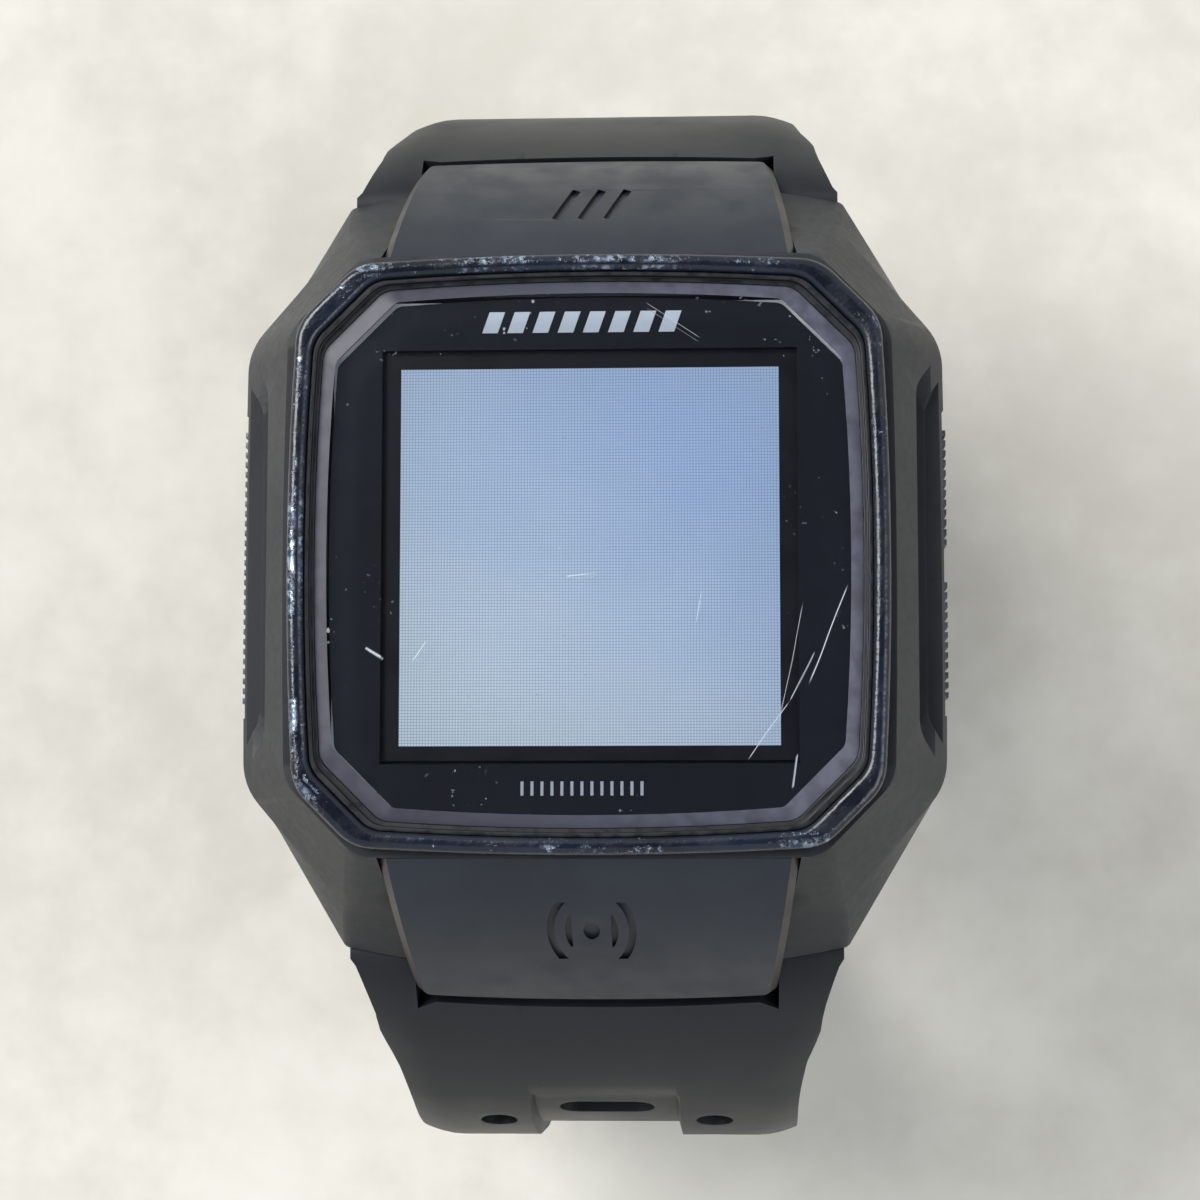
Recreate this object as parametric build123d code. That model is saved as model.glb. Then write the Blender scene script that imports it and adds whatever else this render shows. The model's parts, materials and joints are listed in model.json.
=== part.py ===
from build123d import *
from math import cos, radians, sin
import os

# GPS surf watch, millimetres. Case frame: +X to 3 o'clock, +Y to 12 o'clock, +Z out of the face,
# with z = 0 on the display's dot plane. save() moves everything into the frame of the finished part,
# whose origin is on the table under the middle of the part's box.

# Display and glass
DISPLAY_DOTS = 128
DOT_PITCH = 0.18
DISPLAY_SIDE = DISPLAY_DOTS * DOT_PITCH
CRYSTAL_HALF = 16.5
CRYSTAL_BOTTOM = 0.5
CRYSTAL_TOP = 2.0
CRYSTAL_BEVEL = 0.75
MASK_THICKNESS = 0.18
GLUE_GAP = 0.02
GLASS_BOW = 0.45
CRYSTAL_CORNER = 1.5
CORNER_SETBACK = 4.1  # how far each octagon corner is cut back along its sides

# Case: height of each level, half width, half length, where the corner cuts end, and the end's bulge
CASE_TOP = 1.3
CASE_WIDE = -4.5
CASE_LIP = -8.0
CASE_BOTTOM = -10.6
BACK_FACE = -11.9
CAVITY_HALF = 15.9
BEZEL_HALF = 18.12
BEZEL_WIDTH = 1.02
BEZEL_TOP = 2.6
BEZEL_ROUNDING = 0.5
SCREW_X = 15.9
SCREW_Y = 15.5
SCREW_LENGTH = 3.0
CONTACT_PITCH = 2.8
CONTACT_RADIUS = 0.8
CONTACT_Y = -8.0

# End plates, covering the slopes from the bezel to the straps
PLATE_START = 18.3
PLATE_START_Z = 1.2
PLATE_END = 27.1
PLATE_END_Z = -10.0
PLATE_THICKNESS = 1.3
PLATE_SAGITTA = 0.8
PLATE_HALF_AT_BEZEL = 12.6
PLATE_HALF_AT_STRAP = 11.2
PLATE_END_BULGE = 0.7
PLATE_CORNER = 1.0
PLATE_CHAMFER = 0.5
MARK_DEPTH = 0.25

# Strap pins in the case's tongues
PIN_Y = 24.0
PIN_Z = -10.2
PIN_RADIUS = 0.75
RUNNING_FIT = 0.05
TONGUE_HALF = 11.0
TONGUE_RADIUS = 1.9
EAR_RADIUS = 2.0
EAR_INNER = 11.35
EAR_OUTER = 15.2
EAR_WAIST = 14.4
PIN_HALF = 13.6
PIN_TAP_RADIUS = 0.4
PIN_HEAD_RADIUS = 1.3
PIN_HEAD_END = 14.3

# Buttons
BUTTON_FACE = 21.9
BUTTON_REAR = 20.0
BUTTON_HALF_SPAN = 9.3
BUTTON_TOP = -4.5
BUTTON_BOTTOM = -7.9
BUTTON_SPLIT = 0.4
POCKET_FLOOR = 19.0
GUARD_OUTER = (19.9, 10.6, -3.1)  # inner edge in X, half length there, floor height
GUARD_INNER = (20.5, 9.8, -4.0)
GUARD_SPREAD = 1.5  # how much longer a guard step gets for each millimetre outwards
RIB_PITCH = 0.62
RIB_WIDTH = 0.34
SPRING_SEAT = 17.8
SPRING_RADIUS = 1.25
SPRING_WIRE = 0.16
SPRING_TURNS = 3
STEM_RADIUS = 0.7
STEM_END = 15.3
CLIP_AT = 15.5
CLIP_WIDTH = 0.3

# Straps: each outer face starts past its plate's end and follows runs of (length, turn in degrees)
STRAP_START_Y = 27.3
STRAP_START_Z = -10.2
LOWER_HEADING = 42.0
LOWER_RUNS = [(23.9, 48.0), (6.0, 0.0), (40.8, 90.0), (38.0, 0.0)]
UPPER_HEADING = 50.0
UPPER_RUNS = [(20.2, 40.0), (3.0, 0.0), (26.7, 90.0), (19.0, 0.0)]
LOWER_FLEX_AT = 26.9
UPPER_FLEX_AT = 21.7
FLEX_GAP = 0.3
STRAP_THICK_AT_CASE = 3.8
STRAP_THICK = 2.8
STRAP_EDGE_BEVEL = 2.4
STRAP_EDGE_DROP = 0.9
CHANNEL_HALF = 4.85
CHANNEL_DEPTH = 0.9
HOLE_FIRST = 14.6
HOLE_PITCH = 7.0
HOLE_ROWS = 13
HOLE_RADIUS = 1.25
HOLE_OFFSET = 7.2
OVAL_LENGTH = 6.4
OVAL_WIDTH = 2.6
TIP_RADIUS = 7.5

# Buckle and keeper
BAR_RADIUS = 0.8
BAR_AHEAD = 1.25
FRAME_INNER = 12.0
FRAME_OUTER = 13.9
FRAME_REACH = 11.6
FRAME_BAR_WIDTH = 2.3
FRAME_THICK = 2.2
PRONG_WIDTH = 2.0
KEEPER_AT = 58.5
KEEPER_LENGTH = 6.0
KEEPER_HALF = 12.2
KEEPER_WALL = 1.2
KEEPER_ROOM = 3.6


def octagon(half_x, half_y, flat_x, flat_y, bulge_x=0.0, bulge_y=0.0, side_radius=0.0, end_radius=0.0):
    """Eight-sided outline whose long sides may bulge, with rounded corners at its X sides and Y ends."""
    corners = [(half_x, -flat_y), (half_x, flat_y), (flat_x, half_y), (-flat_x, half_y)]
    corners += [(-x, -y) for x, y in corners]
    middles = [(half_x + bulge_x, 0), None, (0, half_y + bulge_y), None]
    middles += [(-half_x - bulge_x, 0), None, (0, -half_y - bulge_y), None]
    bulges = [bulge_x, 0, bulge_y, 0] * 2
    with BuildSketch() as outline:
        with BuildLine():
            for index, start in enumerate(corners):
                end = corners[(index + 1) % 8]
                if bulges[index]:
                    ThreePointArc(start, middles[index], end)
                else:
                    Line(start, end)
        make_face()
        if end_radius:
            fillet([corner for corner in outline.vertices() if abs(corner.Y) > half_y - 0.01], end_radius)
        if side_radius:
            fillet([corner for corner in outline.vertices() if abs(corner.X) > half_x - 0.01], side_radius)
    return outline.sketch


def glass_outline(half):
    """Outline shared by the bezel, glass, print and gaskets, its corners rounder the larger it is."""
    flat, side = half - CORNER_SETBACK, half - GLASS_BOW
    radius = CRYSTAL_CORNER + half - CRYSTAL_HALF
    return octagon(side, side, flat, flat, GLASS_BOW, GLASS_BOW, radius, radius)


def slab(outline, bottom, top):
    """A plate of the given outline between two heights."""
    return extrude(Pos(0, 0, bottom) * outline, amount=top - bottom)


def block(x0, x1, y0, y1, z0, z1):
    """A box between two corners."""
    return Pos((x0 + x1) / 2, (y0 + y1) / 2, (z0 + z1) / 2) * Box(x1 - x0, y1 - y0, z1 - z0)


def rod_x(radius, x0, x1, y, z):
    """A round bar along X."""
    return Pos((x0 + x1) / 2, y, z) * Rot(0, 90, 0) * Cylinder(radius, x1 - x0)


def rod_z(radius, z0, z1, x, y):
    """A round bar along Z."""
    return Pos(x, y, (z0 + z1) / 2) * Cylinder(radius, z1 - z0)


def side_profile(points, half_width):
    """A prism along X with a straight-sided outline given as (y, z) points."""
    face = Plane.YZ * make_face(Polyline(*points, close=True))
    return extrude(face, amount=half_width, both=True)


def mirrored(solid, side):
    """The 12 o'clock piece as it is, or turned over the middle for the 6 o'clock end."""
    return solid if side > 0 else mirror(solid, Plane.XZ)


def along(start_heading, runs, distance):
    """Point and heading of a strap's outer face; the heading turns from outward to down to inward."""
    y, z, heading = STRAP_START_Y, STRAP_START_Z, radians(start_heading)
    for length, turn in runs:
        step = max(0.0, min(distance, length))
        half_turn = radians(turn) * step / length / 2
        chord = step * sin(half_turn) / half_turn if half_turn else step
        y += chord * cos(heading + half_turn)
        z -= chord * sin(heading + half_turn)
        heading += 2 * half_turn
        distance -= step
    return y, z, heading


def total_length(runs):
    """Length of a strap's outer face."""
    return sum(length for length, turn in runs)


# Places that follow from the dimensions
LOWER_LENGTH = total_length(LOWER_RUNS)
UPPER_LENGTH = total_length(UPPER_RUNS)
TABLE_Z = along(LOWER_HEADING, LOWER_RUNS, LOWER_LENGTH)[1]
LOWER_REACH = along(LOWER_HEADING, LOWER_RUNS, LOWER_FLEX_AT)[0]
UPPER_REACH = along(UPPER_HEADING, UPPER_RUNS, UPPER_FLEX_AT)[0]
BOX_MIDDLE_Y = (UPPER_REACH - LOWER_REACH) / 2
TO_PART_FRAME = Pos(0, -BOX_MIDDLE_Y, -TABLE_Z)
PLATE_RUN = PLATE_END - PLATE_START
PLATE_FALL = PLATE_START_Z - PLATE_END_Z
PLATE_LENGTH = (PLATE_RUN**2 + PLATE_FALL**2) ** 0.5
PLATE_NORMAL = (PLATE_FALL / PLATE_LENGTH, PLATE_RUN / PLATE_LENGTH)
PLATE_PLANE = Plane(origin=(0, PLATE_START, PLATE_START_Z), x_dir=(1, 0, 0), z_dir=(0, *PLATE_NORMAL))
BUTTON_Z = (BUTTON_TOP + BUTTON_BOTTOM) / 2
HALF_BUTTON = (BUTTON_HALF_SPAN + BUTTON_SPLIT / 2) / 2
BUTTON_PLACES = {"left": (-1, 0.0), "upper_right": (1, HALF_BUTTON), "lower_right": (1, -HALF_BUTTON)}
UPPER_END = along(UPPER_HEADING, UPPER_RUNS, UPPER_LENGTH)
BAR_Y = UPPER_END[0] - BAR_AHEAD
BAR_Z = UPPER_END[1] + STRAP_THICK / 2
SLEEVE_HALF = HOLE_OFFSET + PRONG_WIDTH / 2


def save(name, *solids):
    """Writes one node, moved into the frame of the finished part."""
    moved = [TO_PART_FRAME * solid for item in solids for solid in item.solids()]
    whole = moved[0] if len(moved) == 1 else Compound(children=moved)
    export_step(whole, f"parts/{name}.step")


# ---------------------------------------------------------------- case


def plate_point(part, height):
    """Point in the side view, a part of the way down the slope and at a height over its crown line."""
    offset = 4 * PLATE_SAGITTA * part * (1 - part) + height
    return (PLATE_START + PLATE_RUN * part + PLATE_NORMAL[0] * offset,
            PLATE_START_Z - PLATE_FALL * part + PLATE_NORMAL[1] * offset)


def plate_layer(top, bottom):
    """Crowned layer over the whole slope, running past the plate's ends."""
    parts = (-0.15, 0.5, 1.15)
    upper = [plate_point(part, top) for part in parts]
    lower = [plate_point(part, bottom) for part in parts]
    edges = [ThreePointArc(*upper), Line(upper[2], lower[2])]
    edges += [ThreePointArc(*lower[::-1]), Line(lower[0], upper[0])]
    return extrude(Plane.YZ * make_face(edges), amount=20, both=True)


def plate_prism(grow=0.0):
    """Prism square to the slope: a trapezoid with a bulging end."""
    wide, narrow = PLATE_HALF_AT_BEZEL + grow, PLATE_HALF_AT_STRAP + grow
    last = PLATE_LENGTH - PLATE_END_BULGE + grow
    tip = (0, PLATE_LENGTH + grow)
    edges = [Line((-wide, -grow), (wide, -grow)), Line((wide, -grow), (narrow, last))]
    edges += [ThreePointArc((narrow, last), tip, (-narrow, last)), Line((-narrow, last), (-wide, -grow))]
    outline = make_face(edges)
    outline = fillet(outline.vertices().sort_by(Axis.Y)[-2:], PLATE_CORNER)
    return extrude(PLATE_PLANE * outline, amount=14, both=True)


def groove_marks():
    """Three short slanted grooves, a plain decoration for the upper plate."""
    return [Pos(x, 22.4, 0) * Rot(0, 0, -24) * Box(0.55, 2.8, 30) for x in (-1.6, 0, 1.6)]


def signal_marks():
    """A dot with two arcs on each side, a plain radio sign for the lower plate."""
    dot = Cylinder(0.5, 30)
    arcs = []
    for radius in (1.4, 2.5):
        ring = Cylinder(radius + 0.22, 30) - Cylinder(radius - 0.22, 30)
        for direction in (-1, 1):
            arcs.append(ring & (Pos(direction * 5.2, 0, 0) * Box(8, 2.2 * radius * 0.62, 30)))
    return [Pos(0, 22.6, 0) * mark for mark in [dot] + arcs]


def end_plate(side):
    """Cover on the slope between bezel and strap, with a chamfered rim and a shallow mark."""
    body = plate_layer(0.0, -PLATE_THICKNESS) & plate_prism()
    crown = body.faces().sort_by(lambda face: face.area)[-2:].sort_by(Axis.Z)[-1]
    rim = [edge for edge in crown.edges() if edge.center().Y > PLATE_START + 0.3]
    body = chamfer(rim, PLATE_CHAMFER)
    marks = groove_marks() if side > 0 else signal_marks()
    for mark in marks:
        body -= mark & plate_layer(1.0, -MARK_DEPTH)
    return mirrored(body, side)


def tongue():
    """Lug tongue under the 12 o'clock plate, rounded about the strap pin."""
    bottom = PIN_Z - TONGUE_RADIUS
    outline = [(16.6, -0.2), (19.2, -0.2), (23.6, -5.0), (26.3, -9.8), (25.75, PIN_Z - 0.65)]
    outline += [(25.2, PIN_Z - 1.45), (PIN_Y, bottom), (22.0, bottom), (20.6, CASE_BOTTOM)]
    outline += [(16.6, CASE_BOTTOM)]
    return side_profile(outline, TONGUE_HALF) - rod_x(PIN_RADIUS, -20, 20, PIN_Y, PIN_Z)


def case_blank():
    """Outer form of the case: four octagonal levels joined by flat facets."""
    top = Pos(0, 0, CASE_TOP) * octagon(18.3, 18.2, 13.9, 13.7, 0.2, 0.2, 3.0, 2.4)
    wide = Pos(0, 0, CASE_WIDE) * octagon(21.7, 21.4, 15.1, 13.7, 0.1, 0.8, 4.0, 1.6)
    lip = Pos(0, 0, CASE_LIP) * octagon(21.5, 23.6, 15.7, 13.8, 0.1, 1.6, 4.0, 0.6)
    bottom = Pos(0, 0, CASE_BOTTOM) * octagon(19.8, 21.5, 14.5, 12.8, 0.1, 0.8, 3.0, 1.0)
    body = loft([top, wide], ruled=True) + loft([wide, lip], ruled=True)
    return body + loft([lip, bottom], ruled=True)


def guard_cut(inner_x, half_length, floor):
    """One guard step over the 3 o'clock buttons, its ends swinging outwards."""
    outer_x = BUTTON_FACE + 3
    outer_half = half_length + GUARD_SPREAD * (outer_x - inner_x)
    outline = make_face(Polyline((inner_x, -half_length), (outer_x, -outer_half), (outer_x, outer_half),
                                 (inner_x, half_length), close=True))
    outline = fillet(outline.vertices().sort_by(Axis.X)[:2], 2.2)
    return slab(outline, floor, CASE_TOP + 1)


def flank_steps():
    """Cuts for the two guard steps and the pocket on the 3 o'clock side."""
    outer = guard_cut(*GUARD_OUTER)
    inner = guard_cut(*GUARD_INNER)
    pocket = block(POCKET_FLOOR, 25, -BUTTON_HALF_SPAN - 0.2, BUTTON_HALF_SPAN + 0.2, -8.1, -4.3)
    return [outer, inner, pocket]


def button_bores(side, y):
    """Spring seat and stem bore through the case wall at one button."""
    seat = rod_x(1.7, SPRING_SEAT, POCKET_FLOOR + 0.1, y, BUTTON_Z)
    bore = rod_x(1.1, CAVITY_HALF - 0.6, SPRING_SEAT + 0.1, y, BUTTON_Z)
    return [turned(cut, side) for cut in (seat, bore)]


def turned(solid, side):
    """The 3 o'clock piece as it is, or mirrored to the 9 o'clock side."""
    return solid if side > 0 else mirror(solid, Plane.YZ)


def screw_places():
    """The four case back screws."""
    return [(x, y) for x in (-SCREW_X, SCREW_X) for y in (-SCREW_Y, SCREW_Y)]


def case_shell():
    """The case with its tongues, cavity, glass seat, button pockets and bores."""
    body = case_blank()
    for side in (1, -1):
        body += mirrored(tongue(), side)
        body -= mirrored(plate_layer(8.0, -PLATE_THICKNESS) & plate_prism(0.08), side)
        for x in (-1, 1):
            near, far = sorted((x * (TONGUE_HALF + 0.05), x * 17.5))
            body -= mirrored(block(near, far, PIN_Y - 2.3, 28, -14, CASE_LIP), side)
    body -= slab(octagon(CAVITY_HALF, CAVITY_HALF, 12.5, 12.5), CASE_BOTTOM - 3, 3)
    body -= slab(glass_outline(17.05), 0.4, 3)
    gasket_groove = octagon(16.95, 16.95, 12.6, 12.6) - octagon(16.25, 16.25, 12.3, 12.3)
    body -= slab(gasket_groove, CASE_BOTTOM - 1, CASE_BOTTOM + 0.6)
    for side in (-1, 1):
        for cut in flank_steps():
            body -= turned(cut, side)
    for side, y in BUTTON_PLACES.values():
        for cut in button_bores(side, y):
            body -= cut
    for x, y in screw_places():
        body -= rod_z(0.6, CASE_BOTTOM - 1, CASE_BOTTOM + SCREW_LENGTH + 0.2, x, y)
    return body


def bezel_ring():
    """Ring round the glass, its top edges rounded."""
    ring = slab(glass_outline(BEZEL_HALF), CASE_TOP, BEZEL_TOP)
    ring = fillet(ring.edges().group_by(Axis.Z)[-1], BEZEL_ROUNDING)
    return ring - slab(glass_outline(BEZEL_HALF - BEZEL_WIDTH), CASE_TOP - 1, BEZEL_TOP + 1)


def bezel_gasket():
    """Black seal standing between the glass and the bezel, with one step."""
    low = slab(glass_outline(17.0) - glass_outline(CRYSTAL_HALF + 0.03), 0.45, 1.75)
    high = slab(glass_outline(17.08) - glass_outline(16.8), 1.75, 2.15)
    return low + high


def crystal():
    """Mineral glass with a wide ground bevel."""
    low = slab(glass_outline(CRYSTAL_HALF), CRYSTAL_BOTTOM, CRYSTAL_TOP - 0.35)
    edge = Pos(0, 0, CRYSTAL_TOP - 0.35) * glass_outline(CRYSTAL_HALF)
    flat = Pos(0, 0, CRYSTAL_TOP) * glass_outline(CRYSTAL_HALF - CRYSTAL_BEVEL)
    return low + loft([edge, flat], ruled=True)


def dial_mask():
    """Black print carrier under the glass with the display's window."""
    window = Rectangle(DISPLAY_SIDE + 2.2, DISPLAY_SIDE + 2.2)
    top = CRYSTAL_BOTTOM - GLUE_GAP
    return slab(glass_outline(15.8) - window, top - MASK_THICKNESS, top)


def lcd_module():
    """Display: lower glass, and upper glass whose top is the dot plane."""
    lower = block(-12.7, 12.7, -14.2, 12.6, -1.2, -0.6)
    upper = block(-12.7, 12.7, -12.4, 12.6, -0.6, 0.0)
    return lower + upper


def display_frame():
    """Moulded frame that centres the display in the case."""
    ring = octagon(15.6, 15.6, 11.9, 11.9) - Pos(0, -0.8, 0) * Rectangle(25.6, 27.2)
    return slab(ring, -2.2, 0.2)


def display_flex_cable():
    """Folded ribbon from the display's ledge to the board."""
    upper = block(-5, 5, -13.9, -9.0, -1.35, -1.2)
    fold = block(-5, 5, -13.9, -13.75, -2.6, -1.35)
    lower = block(-5, 5, -13.75, -10.0, -2.6, -2.45)
    return upper + fold + lower


def main_board():
    """Printed board across the case."""
    return slab(octagon(15.3, 15.3, 11.6, 11.6), -3.4, -2.6)


def board_chips():
    """Chips under the board."""
    places = [(-9.5, 9.8, 4.0, 4.0), (-9.8, 4.6, 2.0, 2.5), (9.6, 10.2, 3.0, 3.0), (9.8, 5.6, 3.5, 2.0)]
    return [block(x - w / 2, x + w / 2, y - h / 2, y + h / 2, -4.3, -3.4) for x, y, w, h in places]


def shield_can():
    """Metal can over the receiver circuits, open towards the board."""
    outside = block(-7.0, 7.0, -11.5, 1.5, -5.1, -3.4)
    inside = block(-6.8, 6.8, -11.3, 1.3, -4.9, -3.4)
    return outside - inside


def side_switch(side, y):
    """Side-pressed switch under the board, with its plunger towards the stem."""
    body = block(12.9, 14.0, y - 1.8, y + 1.8, -7.2, -3.4)
    plunger = block(14.0, 14.25, y - 0.7, y + 0.7, -6.8, -5.6)
    return turned(body + plunger, side)


def case_back():
    """Closing plate with screw holes and the window for the charging contacts."""
    plate = slab(octagon(18.2, 18.2, 15.0, 15.0), BACK_FACE, CASE_BOTTOM)
    plate = chamfer(plate.edges().group_by(Axis.Z)[0], 0.4)
    for x, y in screw_places():
        plate -= rod_z(0.75, BACK_FACE - 1, CASE_BOTTOM + 1, x, y)
        plate -= rod_z(1.3, BACK_FACE - 1, BACK_FACE + 0.6, x, y)
    return plate - block(-6.0, 6.0, -10.0, -6.0, BACK_FACE - 1, CASE_BOTTOM + 1)


def case_back_screw(x, y):
    """Countersunk screw with a cross slot."""
    head = rod_z(1.25, BACK_FACE + 0.05, BACK_FACE + 0.6, x, y)
    shank = rod_z(0.6, BACK_FACE + 0.6, CASE_BOTTOM + SCREW_LENGTH, x, y)
    slots = block(x - 0.9, x + 0.9, y - 0.15, y + 0.15, BACK_FACE, BACK_FACE + 0.3)
    slots += block(x - 0.15, x + 0.15, y - 0.9, y + 0.9, BACK_FACE, BACK_FACE + 0.3)
    return head + shank - slots


def contact_places():
    """X position of each charging contact."""
    return [CONTACT_PITCH * (index - 1.5) for index in range(4)]


def contact_block():
    """Insulating insert that holds the charging contacts."""
    insert = block(-6.0, 6.0, -10.0, -6.0, BACK_FACE, CASE_BOTTOM + 0.4)
    for x in contact_places():
        insert -= rod_z(CONTACT_RADIUS, BACK_FACE - 1, CASE_BOTTOM + 1, x, CONTACT_Y)
    return insert


# ---------------------------------------------------------------- buttons


def button_cap(side, y, half_span):
    """Button with vertical grip ribs on its outer face."""
    cap = block(BUTTON_REAR, BUTTON_FACE - 0.25, y - half_span, y + half_span, BUTTON_BOTTOM, BUTTON_TOP)
    cap = fillet(cap.edges().filter_by(Axis.X), 0.5)
    count = int(2 * half_span / RIB_PITCH) - 2
    height = BUTTON_TOP - BUTTON_BOTTOM - 0.9
    for rib in range(count):
        place = y + (rib - (count - 1) / 2) * RIB_PITCH
        cap += Pos(BUTTON_FACE - 0.2, place, BUTTON_Z) * Box(0.4, RIB_WIDTH, height)
    return turned(cap, side)


def button_stem(side, y):
    """Stem from the cap through the case wall, grooved for its clip."""
    stem = rod_x(STEM_RADIUS, STEM_END, BUTTON_REAR, y, BUTTON_Z)
    groove = rod_x(2.0, CLIP_AT, CLIP_AT + CLIP_WIDTH, y, BUTTON_Z) - rod_x(0.5, 15, 17, y, BUTTON_Z)
    return turned(stem - groove, side)


def stem_o_ring(side, y):
    """Seal running in the stem bore."""
    ring = Pos(17.3, y, BUTTON_Z) * Rot(0, 90, 0) * Torus(0.9, 0.19)
    return turned(ring, side)


def stem_clip(side, y):
    """Open ring in the stem's groove that keeps the stem in the case."""
    ring = rod_x(1.45, CLIP_AT, CLIP_AT + CLIP_WIDTH, y, BUTTON_Z) - rod_x(0.5, 15, 17, y, BUTTON_Z)
    ring -= block(15, 17, y - 0.35, y + 0.35, BUTTON_Z, BUTTON_Z + 2)
    return turned(ring, side)


def return_spring(side, y):
    """Coil spring between the cap and its seat in the case wall."""
    length = BUTTON_REAR - SPRING_SEAT - 2 * SPRING_WIRE - 0.02
    helix = Helix(pitch=length / SPRING_TURNS, height=length, radius=SPRING_RADIUS)
    section = Plane(origin=helix @ 0, z_dir=helix % 0) * Circle(SPRING_WIRE)
    coil = sweep(section, path=helix)
    return turned(Pos(SPRING_SEAT + SPRING_WIRE + 0.01, y, BUTTON_Z) * Rot(0, 90, 0) * coil, side)


# ---------------------------------------------------------------- straps


def blend(value, low, high):
    """0 below low, 1 above high, and straight between."""
    return max(0.0, min(1.0, (value - low) / (high - low)))


def strap_width(distance, length):
    """Full width: quick concave narrowing at the case, then a slow taper."""
    flare = 2.6 * (1 - blend(distance, 0, 9)) ** 2
    return 26.4 + flare - 3.4 * blend(distance, 14, length - 8)


def strap_thickness(distance):
    """Thickness, falling away from the case."""
    return STRAP_THICK_AT_CASE - (STRAP_THICK_AT_CASE - STRAP_THICK) * blend(distance, 0, 16)


def strap_station(heading_start, runs, distance, channel):
    """Cross-section of a strap at a distance from its start, with soft bevels and the centre channel."""
    y, z, heading = along(heading_start, runs, distance)
    outward = Vector(0, sin(heading), cos(heading))
    plane = Plane(origin=(0, y, z), x_dir=(1, 0, 0), z_dir=Vector(1, 0, 0).cross(outward))
    half = strap_width(distance, total_length(runs)) / 2
    thick = strap_thickness(distance)
    depth = 0.02 + (CHANNEL_DEPTH - 0.02) * channel(distance)
    right = [(half - 0.5, -thick), (half, -thick + 0.5), (half, -STRAP_EDGE_DROP)]
    right += [(half - STRAP_EDGE_BEVEL, 0), (CHANNEL_HALF + 0.3, 0), (CHANNEL_HALF, -depth)]
    points = right + [(-u, v) for u, v in reversed(right)]
    return plane * make_face(Polyline(*points, close=True))


def strap_piece(heading_start, runs, start, end, step, channel):
    """Strap between two distances, as flat facets between cross-sections."""
    count = max(1, round((end - start) / step))
    places = [start + (end - start) * index / count for index in range(count + 1)]
    return loft([strap_station(heading_start, runs, place, channel) for place in places], ruled=True)


def lower_channel(distance):
    """How deep the lower strap's channel is: it starts before the first hole and runs to the tip."""
    return blend(distance, HOLE_FIRST - 5.5, HOLE_FIRST - 3.0)


def no_channel(distance):
    """The upper strap is plain."""
    return 0.0


def hole_cut(heading_start, runs, distance):
    """One row of the lower strap: two prong holes and the oval hole between them."""
    y, z, heading = along(heading_start, runs, distance)
    outward = Vector(0, sin(heading), cos(heading))
    plane = Plane(origin=(0, y, z), x_dir=(1, 0, 0), z_dir=outward)
    rounds = [plane * Pos(x, 0, -2) * Cylinder(HOLE_RADIUS, 10) for x in (-HOLE_OFFSET, HOLE_OFFSET)]
    oval = plane * extrude(Pos(0, 0, -7) * SlotOverall(OVAL_LENGTH, OVAL_WIDTH), amount=10)
    return rounds + [oval]


def strap_ears(heading_start):
    """Pair of ears round the pin, joined to the strap beyond the plate's end."""
    heading = radians(heading_start)
    y, z = STRAP_START_Y + 0.6 * cos(heading), STRAP_START_Z - 0.6 * sin(heading)
    under = (y - 3.4 * sin(heading), z - 3.4 * cos(heading))
    outline = [(PIN_Y, PIN_Z + EAR_RADIUS), (y - 0.4, z), (y, z), under, (PIN_Y, PIN_Z - EAR_RADIUS)]
    bridge = side_profile(outline, EAR_OUTER)
    ears = bridge + rod_x(EAR_RADIUS, -EAR_OUTER, EAR_OUTER, PIN_Y, PIN_Z)
    ears -= block(-EAR_INNER, EAR_INNER, PIN_Y - 4, PIN_Y + 8, PIN_Z - 8, PIN_Z + 6)
    right = [(EAR_OUTER, 20), (EAR_OUTER, PIN_Y + 0.3), (EAR_WAIST, PIN_Y + 4.3), (EAR_WAIST, 34)]
    plan = make_face(Polyline(*right, *[(-x, y) for x, y in reversed(right)], close=True))
    return ears & slab(plan, -30, 5)


def pin_clearance():
    """Room round the tongue, bores for the pin and counterbores for its screw heads."""
    room = rod_x(TONGUE_RADIUS + 0.35, -EAR_INNER, EAR_INNER, PIN_Y, PIN_Z)
    bore = rod_x(PIN_RADIUS + RUNNING_FIT, -20, 20, PIN_Y, PIN_Z)
    recess = PIN_HEAD_RADIUS + 0.1
    heads = rod_x(recess, PIN_HALF, 20, PIN_Y, PIN_Z) + rod_x(recess, -20, -PIN_HALF, PIN_Y, PIN_Z)
    return [room, bore, heads]


def strap_base(side, heading_start, runs, flex_at, channel):
    """Strap from its ears to the flexing zone."""
    body = strap_piece(heading_start, runs, 0.1, flex_at - FLEX_GAP / 2, 3.4, channel)
    body += strap_ears(heading_start)
    for cut in pin_clearance():
        body -= cut
    return mirrored(body, side)


def lower_strap_base():
    """Hole side, near the case, with the first hole rows."""
    body = strap_base(1, LOWER_HEADING, LOWER_RUNS, LOWER_FLEX_AT, lower_channel)
    for row in range(2):
        for cut in hole_cut(LOWER_HEADING, LOWER_RUNS, HOLE_FIRST + row * HOLE_PITCH):
            body -= cut
    return mirrored(body, -1)


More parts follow.
